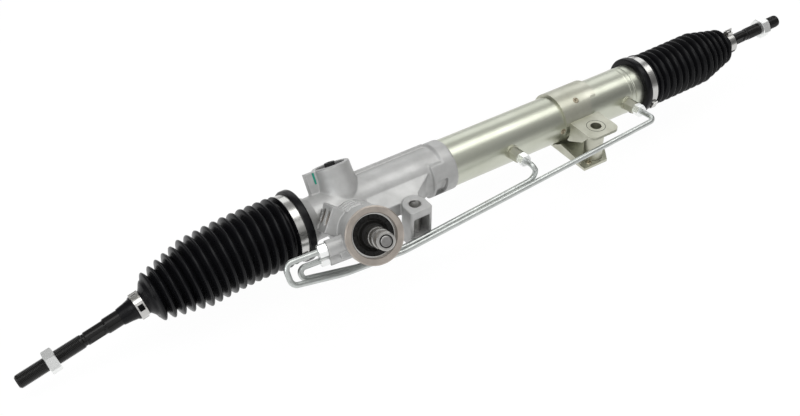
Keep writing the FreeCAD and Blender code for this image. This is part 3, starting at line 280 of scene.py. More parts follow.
def build_cloudy():
    """Slow mottle from 0 to 1, with some smaller patches in it."""
    group, source, result = new_group("cloudy", (("Scale", 30.0), ("Contrast", 0.5)), ("Mottle",))
    where = group.nodes.new("ShaderNodeTexCoord")
    slow = noise(group, 30.0, 4.0, 0.62)
    ease = group.nodes.new("ShaderNodeMapRange")
    spread = group.nodes.new("ShaderNodeMath")
    spread.operation = "MULTIPLY"
    spread.inputs[1].default_value = 0.5
    low = group.nodes.new("ShaderNodeMath")
    low.operation = "SUBTRACT"
    low.inputs[0].default_value = 0.5
    high = group.nodes.new("ShaderNodeMath")
    high.operation = "ADD"
    high.inputs[0].default_value = 0.5
    link = group.links.new
    link(where.outputs["Object"], slow.inputs["Vector"])
    link(source.outputs["Scale"], slow.inputs["Scale"])
    link(source.outputs["Contrast"], spread.inputs[0])
    link(spread.outputs[0], low.inputs[1])
    link(spread.outputs[0], high.inputs[1])
    link(slow.outputs[0], ease.inputs["Value"])
    link(low.outputs[0], ease.inputs["From Min"])
    link(high.outputs[0], ease.inputs["From Max"])
    link(ease.outputs[0], result.inputs["Mottle"])
    return group


def build_grain():
    """Fine height from two sizes of noise."""
    group, source, result = new_group("grain", (("Scale", 900.0), ("Coarse", 0.35)), ("Height",))
    where = group.nodes.new("ShaderNodeTexCoord")
    fine = noise(group, 900.0, 2.0, 0.5)
    coarse = noise(group, 250.0, 2.0, 0.5)
    divide = group.nodes.new("ShaderNodeMath")
    divide.operation = "MULTIPLY"
    divide.inputs[1].default_value = COARSE_SCALE
    both = group.nodes.new("ShaderNodeMix")
    link = group.links.new
    link(where.outputs["Object"], fine.inputs["Vector"])
    link(where.outputs["Object"], coarse.inputs["Vector"])
    link(source.outputs["Scale"], fine.inputs["Scale"])
    link(source.outputs["Scale"], divide.inputs[0])
    link(divide.outputs[0], coarse.inputs["Scale"])
    link(source.outputs["Coarse"], both.inputs["Factor"])
    link(fine.outputs[0], both.inputs["A"])
    link(coarse.outputs[0], both.inputs["B"])
    link(both.outputs["Result"], result.inputs["Height"])
    return group


CLOUDY = build_cloudy()
GRAIN = build_grain()
print("groups", CLOUDY.name, GRAIN.name)

# %% [markdown]
# Each finish could have nodes of its own, but every change would then be made many times,
# so one helper makes them all. The mottle moves the tone between a light and a dark one
# and the roughness with it, and the grain goes into the bump.

# %% Finish helper
COAT_ROUGHNESS = 0.12


def finish(name, light, dark, metal, rough, grain, cloud, coat=0.0, shine=0.5):
    """Material from two tones, (low, high) roughness, grain and cloud.

    Grain is (scale, strength, height in millimetres) and cloud is (scale, contrast).
    """
    material = bpy.data.materials.new(name)
    material.use_nodes = True
    tree = material.node_tree
    surface = tree.nodes["Principled BSDF"]
    surface.inputs["Metallic"].default_value = metal
    surface.inputs["Specular IOR Level"].default_value = shine
    surface.inputs["Coat Weight"].default_value = coat
    surface.inputs["Coat Roughness"].default_value = COAT_ROUGHNESS
    clouds = tree.nodes.new("ShaderNodeGroup")
    clouds.node_tree = CLOUDY
    clouds.inputs["Scale"].default_value = cloud[0]
    clouds.inputs["Contrast"].default_value = cloud[1]
    tone = tree.nodes.new("ShaderNodeMix")
    tone.data_type = "RGBA"
    tone.inputs["A"].default_value = (*dark, 1)
    tone.inputs["B"].default_value = (*light, 1)
    polish = tree.nodes.new("ShaderNodeMapRange")
    polish.inputs["To Min"].default_value = rough[1]
    polish.inputs["To Max"].default_value = rough[0]
    grit = tree.nodes.new("ShaderNodeGroup")
    grit.node_tree = GRAIN
    grit.inputs["Scale"].default_value = grain[0]
    bump = tree.nodes.new("ShaderNodeBump")
    bump.inputs["Strength"].default_value = grain[1]
    bump.inputs["Distance"].default_value = grain[2] * MM
    tree.links.new(clouds.outputs["Mottle"], tone.inputs["Factor"])
    tree.links.new(clouds.outputs["Mottle"], polish.inputs["Value"])
    tree.links.new(tone.outputs["Result"], surface.inputs["Base Color"])
    tree.links.new(polish.outputs[0], surface.inputs["Roughness"])
    tree.links.new(grit.outputs["Height"], bump.inputs["Height"])
    tree.links.new(bump.outputs["Normal"], surface.inputs["Normal"])
    return material


# %% [markdown]
# The gear housing is a die-cast aluminium body, blasted clean and left bare, so it is a
# pale warm grey with hardly any shine. Its mouth and the ends of its ports are machined.
# The cylinder and its bracket are steel with a yellow zinc finish: on the drawn tube it is
# smooth and olive, on the pressed bracket duller. Pipes have a plain zinc finish, and the
# nuts are nearly white.

# %% Metal finishes
CAST = finish("cast_aluminium", (0.52, 0.52, 0.515), (0.40, 0.40, 0.395), 0.5, (0.40, 0.54),
              (1500, 0.35, 0.10), (38, 0.45))
MACHINED = finish("machined_face", (0.50, 0.455, 0.41), (0.35, 0.31, 0.275), 0.8, (0.30, 0.44),
                  (2200, 0.15, 0.04), (60, 0.5))
TUBE_ZINC = finish("yellow_zinc_tube", (0.60, 0.615, 0.535), (0.51, 0.525, 0.44), 1.0, (0.30, 0.38),
                   (700, 0.10, 0.05), (22, 0.6))
PRESSED_ZINC = finish("yellow_zinc_pressing", (0.58, 0.58, 0.50), (0.44, 0.44, 0.36), 0.9, (0.32, 0.46),
                      (1100, 0.22, 0.08), (45, 0.5))
PIPE_ZINC = finish("pipe_zinc", (0.57, 0.595, 0.58), (0.48, 0.50, 0.485), 0.9, (0.30, 0.42),
                   (900, 0.03, 0.02), (70, 0.4))
NUT_ZINC = finish("nut_zinc", (0.95, 0.96, 0.95), (0.86, 0.87, 0.86), 0.8, (0.26, 0.38),
                  (900, 0.04, 0.02), (60, 0.3))
BAND_STEEL = finish("band_steel", (0.60, 0.595, 0.58), (0.47, 0.465, 0.45), 1.0, (0.20, 0.26),
                    (1500, 0.10, 0.03), (50, 0.5))
SHAFT_STEEL = finish("turned_steel", (0.52, 0.51, 0.49), (0.36, 0.355, 0.345), 1.0, (0.24, 0.40),
                     (1800, 0.12, 0.04), (90, 0.6))
DARK_STEEL = finish("oiled_steel", (0.34, 0.335, 0.33), (0.20, 0.195, 0.19), 1.0, (0.30, 0.46),
                    (1800, 0.12, 0.04), (120, 0.6))
PLAIN_ALUMINIUM = finish("turned_aluminium", (0.70, 0.70, 0.69), (0.60, 0.60, 0.59), 0.9, (0.28, 0.42),
                         (1500, 0.1, 0.04), (50, 0.5))
print("metals ready")

# %% [markdown]
# Rubber is nearly black and half shiny, with softer and duller patches where hands and
# mould release have been. The tie rods are forged and painted black, glossier than the
# rubber, and the yoke plug is the same black but dry.

# %% Black and plastic finishes
RUBBER = finish("boot_rubber", (0.007, 0.007, 0.008), (0.004, 0.004, 0.005), 0.0, (0.20, 0.34),
                (1600, 0.12, 0.05), (40, 0.5), shine=0.14)
SEAL_RUBBER = finish("seal_rubber", (0.010, 0.009, 0.008), (0.005, 0.005, 0.005), 0.0, (0.34, 0.55),
                     (1400, 0.2, 0.06), (60, 0.5), shine=0.3)
# Painted shade: a near-black for thin rings that stand in for the shade in narrow gaps round the bush sleeve and
# the torsion bar's head.
GAP_SHADE = finish("gap_shade", (0.010, 0.009, 0.008), (0.004, 0.004, 0.004), 0.0, (0.30, 0.50),
                  (1400, 0.2, 0.05), (150, 0.5), shine=0.25)
BLACK_PAINT = finish("rod_paint", (0.008, 0.0075, 0.007), (0.004, 0.004, 0.004), 0.0, (0.18, 0.30),
                     (600, 0.16, 0.06), (60, 0.5), coat=0.2, shine=0.15)
BLACK_PLUG = finish("plug_black", (0.020, 0.020, 0.020), (0.010, 0.010, 0.010), 0.3, (0.42, 0.60),
                    (1200, 0.25, 0.08), (60, 0.5))
PLASTIC = finish("bearing_plastic", (0.78, 0.76, 0.70), (0.66, 0.64, 0.58), 0.0, (0.38, 0.50),
                 (1200, 0.1, 0.04), (60, 0.5))
GREEN_PAINT = finish("inspection_paint", (0.005, 0.30, 0.21), (0.004, 0.22, 0.15), 0.0, (0.35, 0.50),
                     (900, 0.3, 0.05), (200, 0.5))
print("blacks ready")

# %% [markdown]
# Every solid of the CAD gets a finish by the slot that the record gives it. A few nodes
# look different from the others of their slot, so they are named one by one.

# %% Give every CAD node its finish
BY_SLOT = {
    "cast_aluminium": CAST, "zinc_yellow": PRESSED_ZINC, "zinc_silver": PIPE_ZINC,
    "clamp_steel": BAND_STEEL, "black_rod": BLACK_PAINT, "black_rubber": RUBBER,
    "machined_steel": SHAFT_STEEL, "black_plug": BLACK_PLUG, "aluminium_part": PLAIN_ALUMINIUM,
    "plastic": PLASTIC}
BY_NODE = {
    "cylinder_tube": TUBE_ZINC, "dust_seal": SEAL_RUBBER, "shaft_seal": SEAL_RUBBER,
    "bracket_sleeve": PRESSED_ZINC, "left_jam_nut": NUT_ZINC, "right_jam_nut": NUT_ZINC,
    "tube_nuts": NUT_ZINC}
for part in frame["record"]["subparts"]:
    chosen = BY_NODE.get(part["node"], BY_SLOT[part["material_slot"]])
    mesh = NODES[part["node"]].data
    mesh.materials.clear()
    mesh.materials.append(chosen)

# %% [markdown]
# Every new piece ends the same way: its mesh gets a name, a finish, smooth shading with
# crisp corners and the body that carries it. Round pieces start as an outline that is
# turned about an axis, and are then laid in their place.

# %% Piece helpers
CORNER = math.radians(38)
WELD_REACH = 1e-7


def piece(name, bm, material, body=None, corner=CORNER):
    """Object from a bmesh, placed in its mesh, riding on a body."""
    bmesh.ops.recalc_face_normals(bm, faces=bm.faces)
    mesh = bpy.data.meshes.new(name)
    bm.to_mesh(mesh)
    bm.free()
    mesh.shade_smooth()
    mesh.set_sharp_from_angle(angle=corner)
    mesh.materials.append(material)
    made = bpy.data.objects.new(name, mesh)
    scene.collection.objects.link(made)
    if body:
        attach(made, body)
    return made


def turned(profile, steps=96):
    """Bmesh of a closed (height, radius) outline in millimetres, turned about local Z."""
    bm = bmesh.new()
    ring = [bm.verts.new((radius * MM, 0, height * MM)) for height, radius in profile]
    edges = [bm.edges.new((ring[i - 1], ring[i])) for i in range(len(ring))]
    bmesh.ops.spin(bm, geom=ring + edges, cent=(0, 0, 0), axis=(0, 0, 1), angle=math.tau,
                   steps=steps, use_merge=True, dvec=(0, 0, 0))
    bmesh.ops.remove_doubles(bm, verts=bm.verts, dist=WELD_REACH)
    return bm


def lay(bm, origin, turn_to):
    """Moves a bmesh from its own axes to a place in the frame."""
    bmesh.ops.transform(bm, matrix=Matrix.Translation(origin) @ turn_to.to_4x4(), verts=bm.verts)
    return bm


def repeat_round(bm, count):
    """Copies all that is in a bmesh evenly round local Z."""
    bmesh.ops.spin(bm, geom=bm.verts[:] + bm.edges[:] + bm.faces[:], cent=(0, 0, 0), axis=(0, 0, 1),
                   angle=math.tau * (count - 1) / count, steps=count - 1, use_duplicate=True,
                   dvec=(0, 0, 0))


def with_modifiers(made):
    """New mesh of an object as its modifiers leave it."""
    return bpy.data.meshes.new_from_object(made.evaluated_get(bpy.context.evaluated_depsgraph_get()))


# %% [markdown]
# A bellows boot is a thin rubber sleeve whose folds open and close as the rack travels.
# The folds could be modelled one by one, but a rule for the radius keeps them even and
# lets each one be a little smaller than the last, with round crests and tighter valleys.

# %% Fold outline
BOOT_WALL = 1.8
FOLD_DEPTH = 6.5
FOLD_STEPS = 12
CREST_FULLNESS = 0.72


def fold_radius(phase, valley, crest, next_valley):
    """Outer radius through one fold: round on the crest, tighter in the valley."""
    swing = 0.5 - 0.5 * math.cos(math.tau * phase)
    foot = valley if phase < 0.5 else next_valley
    return foot + (crest - foot) * swing ** CREST_FULLNESS


def fold_outline(crests, first, last):
    """(fold position, outer radius) from one valley to another, both counted in folds."""
    valleys = [crest - FOLD_DEPTH for crest in crests] + [crests[-1] - FOLD_DEPTH]
    line = []
    for fold in range(first, last):
        for step in range(FOLD_STEPS):
            phase = step / FOLD_STEPS
            radius = fold_radius(phase, valleys[fold], crests[fold], valleys[fold + 1])
            line.append((fold + phase, radius))
    line.append((last, valleys[last]))
    return line


print("steps in a fold", FOLD_STEPS)

# %% [markdown]
# The outline is spun into a closed sleeve, wall and all, and then laid along a curve that
# leaves the housing on the rack's axis and arrives on the drooping tie rod's own axis. A
# curve modifier could bend it too, but a short formula places each point without a twist.

# %% Boot sleeve and its curve
SLEEVE_STEPS = 72


def sleeve(outer, inner):
    """Closed sleeve turned about X from outer and inner (position, radius) lines."""
    bm = bmesh.new()
    ring = [bm.verts.new((position * MM, 0, radius * MM)) for position, radius in outer + inner[::-1]]
    edges = [bm.edges.new((ring[i - 1], ring[i])) for i in range(len(ring))]
    bmesh.ops.spin(bm, geom=ring + edges, cent=(0, 0, 0), axis=(1, 0, 0), angle=math.tau,
                   steps=SLEEVE_STEPS, use_merge=True, dvec=(0, 0, 0))
    bmesh.ops.remove_doubles(bm, verts=bm.verts, dist=WELD_REACH)
    return bm


def hanging(start, start_way, end, end_way, sag):
    """Curve that leaves one axis and arrives on another, as a function of 0 to 1."""
    pull = (end - start).length / 3
    first = start + start_way * pull
    last = end - end_way * pull - UP * sag * MM

    def curve(t):
        u = 1 - t
        point = start * u**3 + first * (3 * u * u * t) + last * (3 * u * t * t) + end * t**3
        way = (first - start) * (u * u) + (last - first) * (2 * u * t) + (end - last) * (t * t)
        return point, way.normalized()

    return curve


print("steps round a sleeve", SLEEVE_STEPS)

# %% [markdown] A boot crosses three moves, the rack's travel and the rod's tilt and
# swing. It is cut at two valleys into three sleeves, which are laid once in place and
# don't move.

# %% Boot builder
BOOT_CORNER = math.radians(50)


def boot_sleeve(name, outer, inner, centre, span, node):
    """One of a boot's sleeves, laid along its centre curve; the ends of its span are looked up but not used."""
    bm = sleeve(outer, inner)
    position = [vertex.co.x / MM for vertex in bm.verts]
    for vertex, s in zip(bm.verts, position):
        point, way = centre(s)
        across = Vector((0, 1, 0))
        above = way.cross(across).normalized() * (1 if way.x > 0 else -1)
        vertex.co = point + across * vertex.co.y + above * vertex.co.z
    made = piece(name, bm, RUBBER, corner=BOOT_CORNER)
    centre(span[0])[0]
    centre(span[1])[0]
    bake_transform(made)
    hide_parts(node)
    print(name, len(made.data.polygons), "faces")


# %% [markdown]
# A cuff is the plain end of a boot: a lip, a groove for the clamp's band and a rim before
# the first valley. Where it sits is read from the CAD nodes of the boot and its clamp.

# %% Boot cuffs
CUFF_GAP = 4.0
CUFF_LIP = 7.0
CUFF_CORNER = 1.6
SEAT_GAP = 0.02


def node_span(name):
    """Lowest and highest X of a CAD node in rack millimetres."""
    places = [(vertex.co.x - RACK_ORIGIN.x) / MM for vertex in NODES[name].data.vertices]
    return min(places), max(places)


def cuff_lines(seat_r, band, first, groove, valley):
    """Outer and inner lines of a cuff, in millimetres before the first fold."""
    start = -first
    low, high = start + band[0], start + band[1]
    lip = seat_r + CUFF_LIP
    outer = [(start, lip - CUFF_CORNER), (start + 0.5, lip - 0.5), (start + CUFF_CORNER, lip),
             (low - CUFF_CORNER, lip), (low - 0.5, lip - 0.5), (low, groove), (high, groove),
             (high + 0.4, groove + 1.2), (high + 1.2, groove + CUFF_CORNER),
             (-CUFF_CORNER, valley + 0.3)]
    inner = [(start, seat_r + SEAT_GAP), (high, seat_r + SEAT_GAP)]
    return outer, inner


def walled(outer):
    """Inner line of a boot's wall from its outer one."""
    return [(position, radius - BOOT_WALL) for position, radius in outer]


for boot in ("left_boot", "right_boot"):
    print(boot, "spans", [round(x, 2) for x in node_span(boot)])

# %% [markdown]
# The left boot starts on the housing's spigot. Three folds stand straight on the rack's
# axis, the others hang along the curve, and the last ones get smaller step by step.

# %% Left boot's curve
SPIGOT_R = 31.5
LEFT_CUFF_AT = node_span("left_boot")[1]
band_low, band_high = node_span("left_big_clamp")
LEFT_BAND = (LEFT_CUFF_AT - band_high, LEFT_CUFF_AT - band_low)
LEFT_FIRST = LEFT_BAND[1] + CUFF_GAP
LEFT_PITCH = 9.4
LEFT_STRAIGHT = 3
LEFT_FOLDS = 16
LEFT_END = 62.0
LEFT_SAG = 4.0
left_bend = hanging(at(LEFT_CUFF_AT - LEFT_FIRST - LEFT_STRAIGHT * LEFT_PITCH), -OUT,
                    LEFT_BALL + LEFT_WAY * LEFT_END * MM, LEFT_WAY, LEFT_SAG)


def left_centre(s):
    """Point and way at s: millimetres up to the folds, then folds, then millimetres again."""
    if s < 0:
        return at(LEFT_CUFF_AT - LEFT_FIRST - s), -OUT
    if s <= LEFT_STRAIGHT:
        return at(LEFT_CUFF_AT - LEFT_FIRST - s * LEFT_PITCH), -OUT
    if s <= LEFT_FOLDS:
        return left_bend((s - LEFT_STRAIGHT) / (LEFT_FOLDS - LEFT_STRAIGHT))
    return LEFT_BALL + LEFT_WAY * (LEFT_END + s - LEFT_FOLDS) * MM, LEFT_WAY


print("left folds", LEFT_FOLDS, "from", round(LEFT_CUFF_AT - LEFT_FIRST, 2))

# %% [markdown]
# The three sleeves share one row of crests. The cuff belongs to the first sleeve and the
# collar, which the small clamp grips, to the last. The collar's bore follows the rod
# closely, so no gap shows between them.

# %% Left boot
LEFT_CREST_R = 37.3
LEFT_LAST_CREST_R = 26.4
LEFT_CREST_RISE = 2.15
LEFT_SPLIT = 12
LEFT_SPLIT_TWO = 14
LEFT_GROOVE_R = SPIGOT_R + 3.5
SMALL_SEAT_R = 12.4
ROD_R = 8.15
BORE_R = ROD_R + 0.12
LEFT_COLLAR = (
    (63.5, 18.2), (65.5, 15.2), (67.0, 13.2), (68.0, SMALL_SEAT_R), (78.6, SMALL_SEAT_R),
    (79.4, 11.9), (80.6, 11.0), (86.0, 9.9), (92.0, 9.2), (94.6, 8.7))
LEFT_BORE = ((65.0, 13.4), (68.0, BORE_R), (94.6, BORE_R))

left_crests = [min(LEFT_CREST_R, LEFT_LAST_CREST_R + LEFT_CREST_RISE * (LEFT_FOLDS - 1 - fold))
               for fold in range(LEFT_FOLDS)]
outer, inner = cuff_lines(SPIGOT_R, LEFT_BAND, LEFT_FIRST, LEFT_GROOVE_R, left_crests[0] - FOLD_DEPTH)
folds = fold_outline(left_crests, 0, LEFT_SPLIT)
boot_sleeve("left_boot_folds", outer + folds, inner + walled(folds), left_centre,
            (0, LEFT_SPLIT), "left_boot")
folds = fold_outline(left_crests, LEFT_SPLIT, LEFT_SPLIT_TWO)
boot_sleeve("left_boot_bend", folds, walled(folds), left_centre,
            (LEFT_SPLIT, LEFT_SPLIT_TWO), "left_boot")
folds = fold_outline(left_crests, LEFT_SPLIT_TWO, LEFT_FOLDS)
collar = [(LEFT_FOLDS + along - LEFT_END, radius) for along, radius in LEFT_COLLAR]
bore = [(LEFT_FOLDS + along - LEFT_END, radius) for along, radius in LEFT_BORE]
boot_sleeve("left_boot_collar", folds + collar, walled(folds) + bore, left_centre,
            (LEFT_SPLIT_TWO, LEFT_FOLDS), "left_boot")

# %% [markdown]
# The right boot starts on the cylinder tube. Its rod droops less, so all its folds lie on
# one easy curve and none of them stands straight.

# %% Right boot's curve
TUBE_R = 27.0
RIGHT_CUFF_AT = node_span("right_boot")[0]
band_low, band_high = node_span("right_big_clamp")
RIGHT_BAND = (band_low - RIGHT_CUFF_AT, band_high - RIGHT_CUFF_AT)
RIGHT_FIRST = RIGHT_BAND[1] + CUFF_GAP
RIGHT_FOLDS = 13
RIGHT_END = 93.3
right_bend = hanging(at(RIGHT_CUFF_AT + RIGHT_FIRST), OUT,
                     RIGHT_BALL + RIGHT_WAY * RIGHT_END * MM, RIGHT_WAY, 0)


def right_centre(s):
    """Point and way at s: millimetres up to the folds, then folds, then millimetres again."""
    if s < 0:
        return at(RIGHT_CUFF_AT + RIGHT_FIRST + s), OUT
    if s <= RIGHT_FOLDS:
        return right_bend(s / RIGHT_FOLDS)
    return RIGHT_BALL + RIGHT_WAY * (RIGHT_END + s - RIGHT_FOLDS) * MM, RIGHT_WAY


print("right folds", RIGHT_FOLDS, "from", round(RIGHT_CUFF_AT + RIGHT_FIRST, 2))

# %% [markdown]
# This boot is shorter and has fewer and smaller folds. It is built by the same helpers
# as the left one.

# %% Right boot
RIGHT_CREST_R = 31.8
RIGHT_LAST_CREST_R = 22.0
RIGHT_CREST_RISE = 2.4
RIGHT_SPLIT = 7
RIGHT_SPLIT_TWO = 10
RIGHT_GROOVE_R = TUBE_R + 4.5
RIGHT_COLLAR = (
    (94.3, 14.8), (95.6, 13.4), (97.0, SMALL_SEAT_R), (107.2, SMALL_SEAT_R),
    (107.7, SMALL_SEAT_R - 0.6))
RIGHT_BORE = ((96.0, BORE_R), (107.7, BORE_R))

right_crests = [min(RIGHT_CREST_R, RIGHT_LAST_CREST_R + RIGHT_CREST_RISE * (RIGHT_FOLDS - 1 - fold))
                for fold in range(RIGHT_FOLDS)]
outer, inner = cuff_lines(TUBE_R, RIGHT_BAND, RIGHT_FIRST, RIGHT_GROOVE_R, right_crests[0] - FOLD_DEPTH)
folds = fold_outline(right_crests, 0, RIGHT_SPLIT)
boot_sleeve("right_boot_folds", outer + folds, inner + walled(folds), right_centre,
            (0, RIGHT_SPLIT), "right_boot")
folds = fold_outline(right_crests, RIGHT_SPLIT, RIGHT_SPLIT_TWO)
boot_sleeve("right_boot_bend", folds, walled(folds), right_centre,
            (RIGHT_SPLIT, RIGHT_SPLIT_TWO), "right_boot")
folds = fold_outline(right_crests, RIGHT_SPLIT_TWO, RIGHT_FOLDS)
collar = [(RIGHT_FOLDS + along - RIGHT_END, radius) for along, radius in RIGHT_COLLAR]
bore = [(RIGHT_FOLDS + along - RIGHT_END, radius) for along, radius in RIGHT_BORE]
boot_sleeve("right_boot_collar", folds + collar, walled(folds) + bore, right_centre,
            (RIGHT_SPLIT_TWO, RIGHT_FOLDS), "right_boot")

# %% [markdown]
# The casting's walls are right, but its corners are as sharp as a drawing. Sand and die
# leave a small round in every inside and outside corner. A copy of the casting is turned
# into an even skin and smoothed a little, except on the faces that a cutter has passed
# over: the mouth, the bores, the top of the yoke tower and both ends of the bolt ear.

# %% Faces that a cutter has passed over
MOUTH_TOP = 112.0
MOUTH_R = 29.3
RECESS_R = 22.4
VALVE_CASE_R = 27.5
VALVE_CASE_SPAN = (30, 84)
TOWER_TOP = 45.4
YOKE_BORE_R = 16.0
YOKE_BORE_FOOT = 20
RACK_BORE_R = 22.0
EAR_TOP = 10.0
EAR_BOTTOM = -35.0
EAR_REACH = 22.0
BOLT_BORE_R = 6.25
CUT_REACH = 0.6
TOWER_FOOT = at(-127.0)


def apart(point, origin, way):
    """Height along an axis and distance from it, in millimetres."""
    arm = (point - origin) / MM
    height = arm.dot(way)
    return height, (arm - way * height).length


def machined(point):
    """True on cut faces and the ports: mouth, valve case, yoke tower, rack bore and bolt ear."""
    height, radius = apart(point, SHAFT_FOOT, SHAFT_WAY)
    if height > MOUTH_TOP - 0.9 or radius < RECESS_R + CUT_REACH and height > 0:
        return True
    if VALVE_CASE_SPAN[0] < height < VALVE_CASE_SPAN[1] and radius > VALVE_CASE_R + 0.5:
        return True
    rise, radius = apart(point, TOWER_FOOT, YOKE_WAY)
    if rise > TOWER_TOP - 0.7 or rise > YOKE_BORE_FOOT and radius < YOKE_BORE_R + CUT_REACH:
        return True
    place = (point - RACK_ORIGIN) / MM
    if place.x > -0.7 or math.hypot(place.y, place.z) < RACK_BORE_R:
        return True
    z = point.z / MM
    from_bolt = math.hypot(point.x, point.y) / MM
    at_an_end = z > EAR_TOP - CUT_REACH or z < EAR_BOTTOM + CUT_REACH
    return from_bolt < EAR_REACH and (at_an_end or from_bolt < BOLT_BORE_R + 0.95)


print("mouth at", MOUTH_TOP, "tower top at", TOWER_TOP)

# %% [markdown]
# A bevel fails on so many fused and cut faces, so the skin comes from a remesh of the
# casting into even small squares. Smoothing them a few times rounds the corners, and a
# decimate step then brings the number of triangles down.

# %% Casting
SKIN_WELD = 1e-6
SKIN_SIZE = 0.72
ROUNDING_PASSES = 4
KEPT_SHARE = 0.35
SOFT_CORNER = math.radians(60)
skin_bm = bmesh.new()
skin_bm.from_mesh(NODES["gear_housing"].data)
bmesh.ops.remove_doubles(skin_bm, verts=skin_bm.verts, dist=SKIN_WELD)
skin_mesh = bpy.data.meshes.new("casting_skin")
skin_bm.to_mesh(skin_mesh)
skin_bm.free()
skin = bpy.data.objects.new("casting_skin", skin_mesh)
scene.collection.objects.link(skin)
even = skin.modifiers.new("even", "REMESH")
even.mode = "VOXEL"
even.voxel_size = SKIN_SIZE * MM
even_mesh = with_modifiers(skin)
bpy.data.objects.remove(skin)
casting_bm = bmesh.new()
casting_bm.from_mesh(even_mesh)
soft = [vertex for vertex in casting_bm.verts if not machined(vertex.co)]
for step in range(ROUNDING_PASSES):
    bmesh.ops.smooth_vert(casting_bm, verts=soft, factor=0.5,
                          use_axis_x=True, use_axis_y=True, use_axis_z=True)
print("casting skin", len(casting_bm.faces), "faces, rounded", len(soft), "points")
casting = piece("gear_casting", casting_bm, CAST, corner=SOFT_CORNER)
thin = casting.modifiers.new("thin", "DECIMATE")
thin.ratio = KEPT_SHARE
casting_mesh = with_modifiers(casting)
casting.modifiers.clear()
casting.data = casting_mesh
casting_mesh.name = "gear_casting"
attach(casting, "housing")
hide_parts("gear_housing")
print("casting", len(casting.data.polygons), "triangles")

# %% [markdown]
# A cutter leaves crisp edges with a small chamfer, which the remeshed skin can't hold. So
# the rims that show are turned as thin collars that lie on the casting: the wide face
# round the input shaft, whose skin has gone brown, the rim of the yoke tower and the
# countersink on top of the bolt hole.

# %% Machined rims
SKIN = 0.06
TOWER_R = 20.6
ALONG_SHAFT = upright(SHAFT_WAY)
ALONG_YOKE = upright(YOKE_WAY)
mouth = [(104.0, RECESS_R - SKIN), (111.5, RECESS_R - SKIN), (112.0 + SKIN, RECESS_R + 0.5),
         (112.0 + SKIN, MOUTH_R - 1.2), (111.0, MOUTH_R + SKIN), (110.4, MOUTH_R + SKIN),
         (110.3, MOUTH_R - 0.5), (111.4, MOUTH_R - 1.5), (111.4, RECESS_R + 0.6),
         (104.0, RECESS_R + 0.3)]
mouth_bm = lay(turned(mouth), SHAFT_FOOT, ALONG_SHAFT)
piece("mouth_face", mouth_bm, MACHINED, "housing")
tower_rim = [(40.0, YOKE_BORE_R - SKIN), (TOWER_TOP - 0.4, YOKE_BORE_R - SKIN),
             (TOWER_TOP + SKIN, YOKE_BORE_R + 0.4), (TOWER_TOP + SKIN, TOWER_R - 1.0),
             (TOWER_TOP - 0.9, TOWER_R), (TOWER_TOP - 0.9, TOWER_R - 0.6),
             (TOWER_TOP - 0.3, TOWER_R - 1.2), (TOWER_TOP - 0.3, YOKE_BORE_R + 0.5),
             (40.0, YOKE_BORE_R + 0.2)]
tower_bm = lay(turned(tower_rim), TOWER_FOOT, ALONG_YOKE)
piece("tower_rim", tower_bm, CAST, "housing")
bolt_rim = [(EAR_TOP - 3.0, BOLT_BORE_R - SKIN), (EAR_TOP - 0.9, BOLT_BORE_R - SKIN),
            (EAR_TOP + SKIN, BOLT_BORE_R + 1.0), (EAR_TOP + SKIN, BOLT_BORE_R + 1.5),
            (EAR_TOP - 0.5, BOLT_BORE_R + 1.5), (EAR_TOP - 3.0, BOLT_BORE_R + 0.3)]
piece("bolt_rim", turned(bolt_rim), SHAFT_STEEL, "housing")
print("rims laid")

# %% [markdown]
# A thread is one small ridge wound round a core. A bump in the material could fake it, but
# the rod's outline would stay smooth, so it is geometry. Spin winds the ridge when each
# step also moves a little along the axis.

# %% Thread helper
THREAD_STEPS = 28
RIDGE_SHARE = 0.42


def thread(core, depth, pitch, low, high):
    """Helical ridge about local Z in millimetres; a negative depth points it inwards."""
    turns = (high - low) / pitch - 1
    bm = bmesh.new()
    half = RIDGE_SHARE * pitch
    corners = ((core, -half), (core + depth, 0), (core, half))
    ring = [bm.verts.new((r * MM, 0, (low + pitch / 2 + z) * MM)) for r, z in corners]
    edges = [bm.edges.new((ring[i - 1], ring[i])) for i in range(3)]
    steps = int(turns * THREAD_STEPS)
    bm.faces.new(ring)
    wound = bmesh.ops.spin(bm, geom=ring + edges, cent=(0, 0, 0), axis=(0, 0, 1),
                           angle=math.tau * steps / THREAD_STEPS, steps=steps, use_merge=False,
                           dvec=(0, 0, pitch / THREAD_STEPS * MM))
    last = [item for item in wound["geom_last"] if isinstance(item, bmesh.types.BMVert)]
    bm.faces.new(last)
    return bm


print("steps in a turn", THREAD_STEPS)

# %% [markdown]
# The tie rods have rolled M14 threads, the two hose ports and the bolt hole have cut ones,
# and all of them catch the light as fine stripes. In a hole the ridge points inwards. The
# ports are found by their mounts in the record, so their threads stay on their axes.

# %% Threads
ROD_CORE_R = 7.0 - 0.05
ROD_DEPTH = 0.42
ROD_PITCH = 1.5
LEFT_THREAD_SPAN = (137.0, 204.5)
RIGHT_THREAD_SPAN = (134.0, 186.0)
BOLT_DEPTH = -0.45
BOLT_PITCH = 1.75
BOLT_SPAN = (-30.0, EAR_TOP - 1.2)
PORT_DEPTH = -0.6
PORT_PITCH = 1.5
PORT_SPAN = (-11.0, -0.6)
FLANK_GAP = 0.02
left_thread = thread(ROD_CORE_R, ROD_DEPTH, ROD_PITCH, *LEFT_THREAD_SPAN)
lay(left_thread, LEFT_BALL, upright(LEFT_WAY))
piece("left_thread", left_thread, BLACK_PAINT, "left_rod", corner=SOFT_CORNER)
right_thread = thread(ROD_CORE_R, ROD_DEPTH, ROD_PITCH, *RIGHT_THREAD_SPAN)
lay(right_thread, RIGHT_BALL, upright(RIGHT_WAY))
piece("right_thread", right_thread, BLACK_PAINT, "right_rod", corner=SOFT_CORNER)
bolt_thread = thread(BOLT_BORE_R + FLANK_GAP, BOLT_DEPTH, BOLT_PITCH, *BOLT_SPAN)
piece("bolt_thread", bolt_thread, SHAFT_STEEL, "housing", corner=SOFT_CORNER)
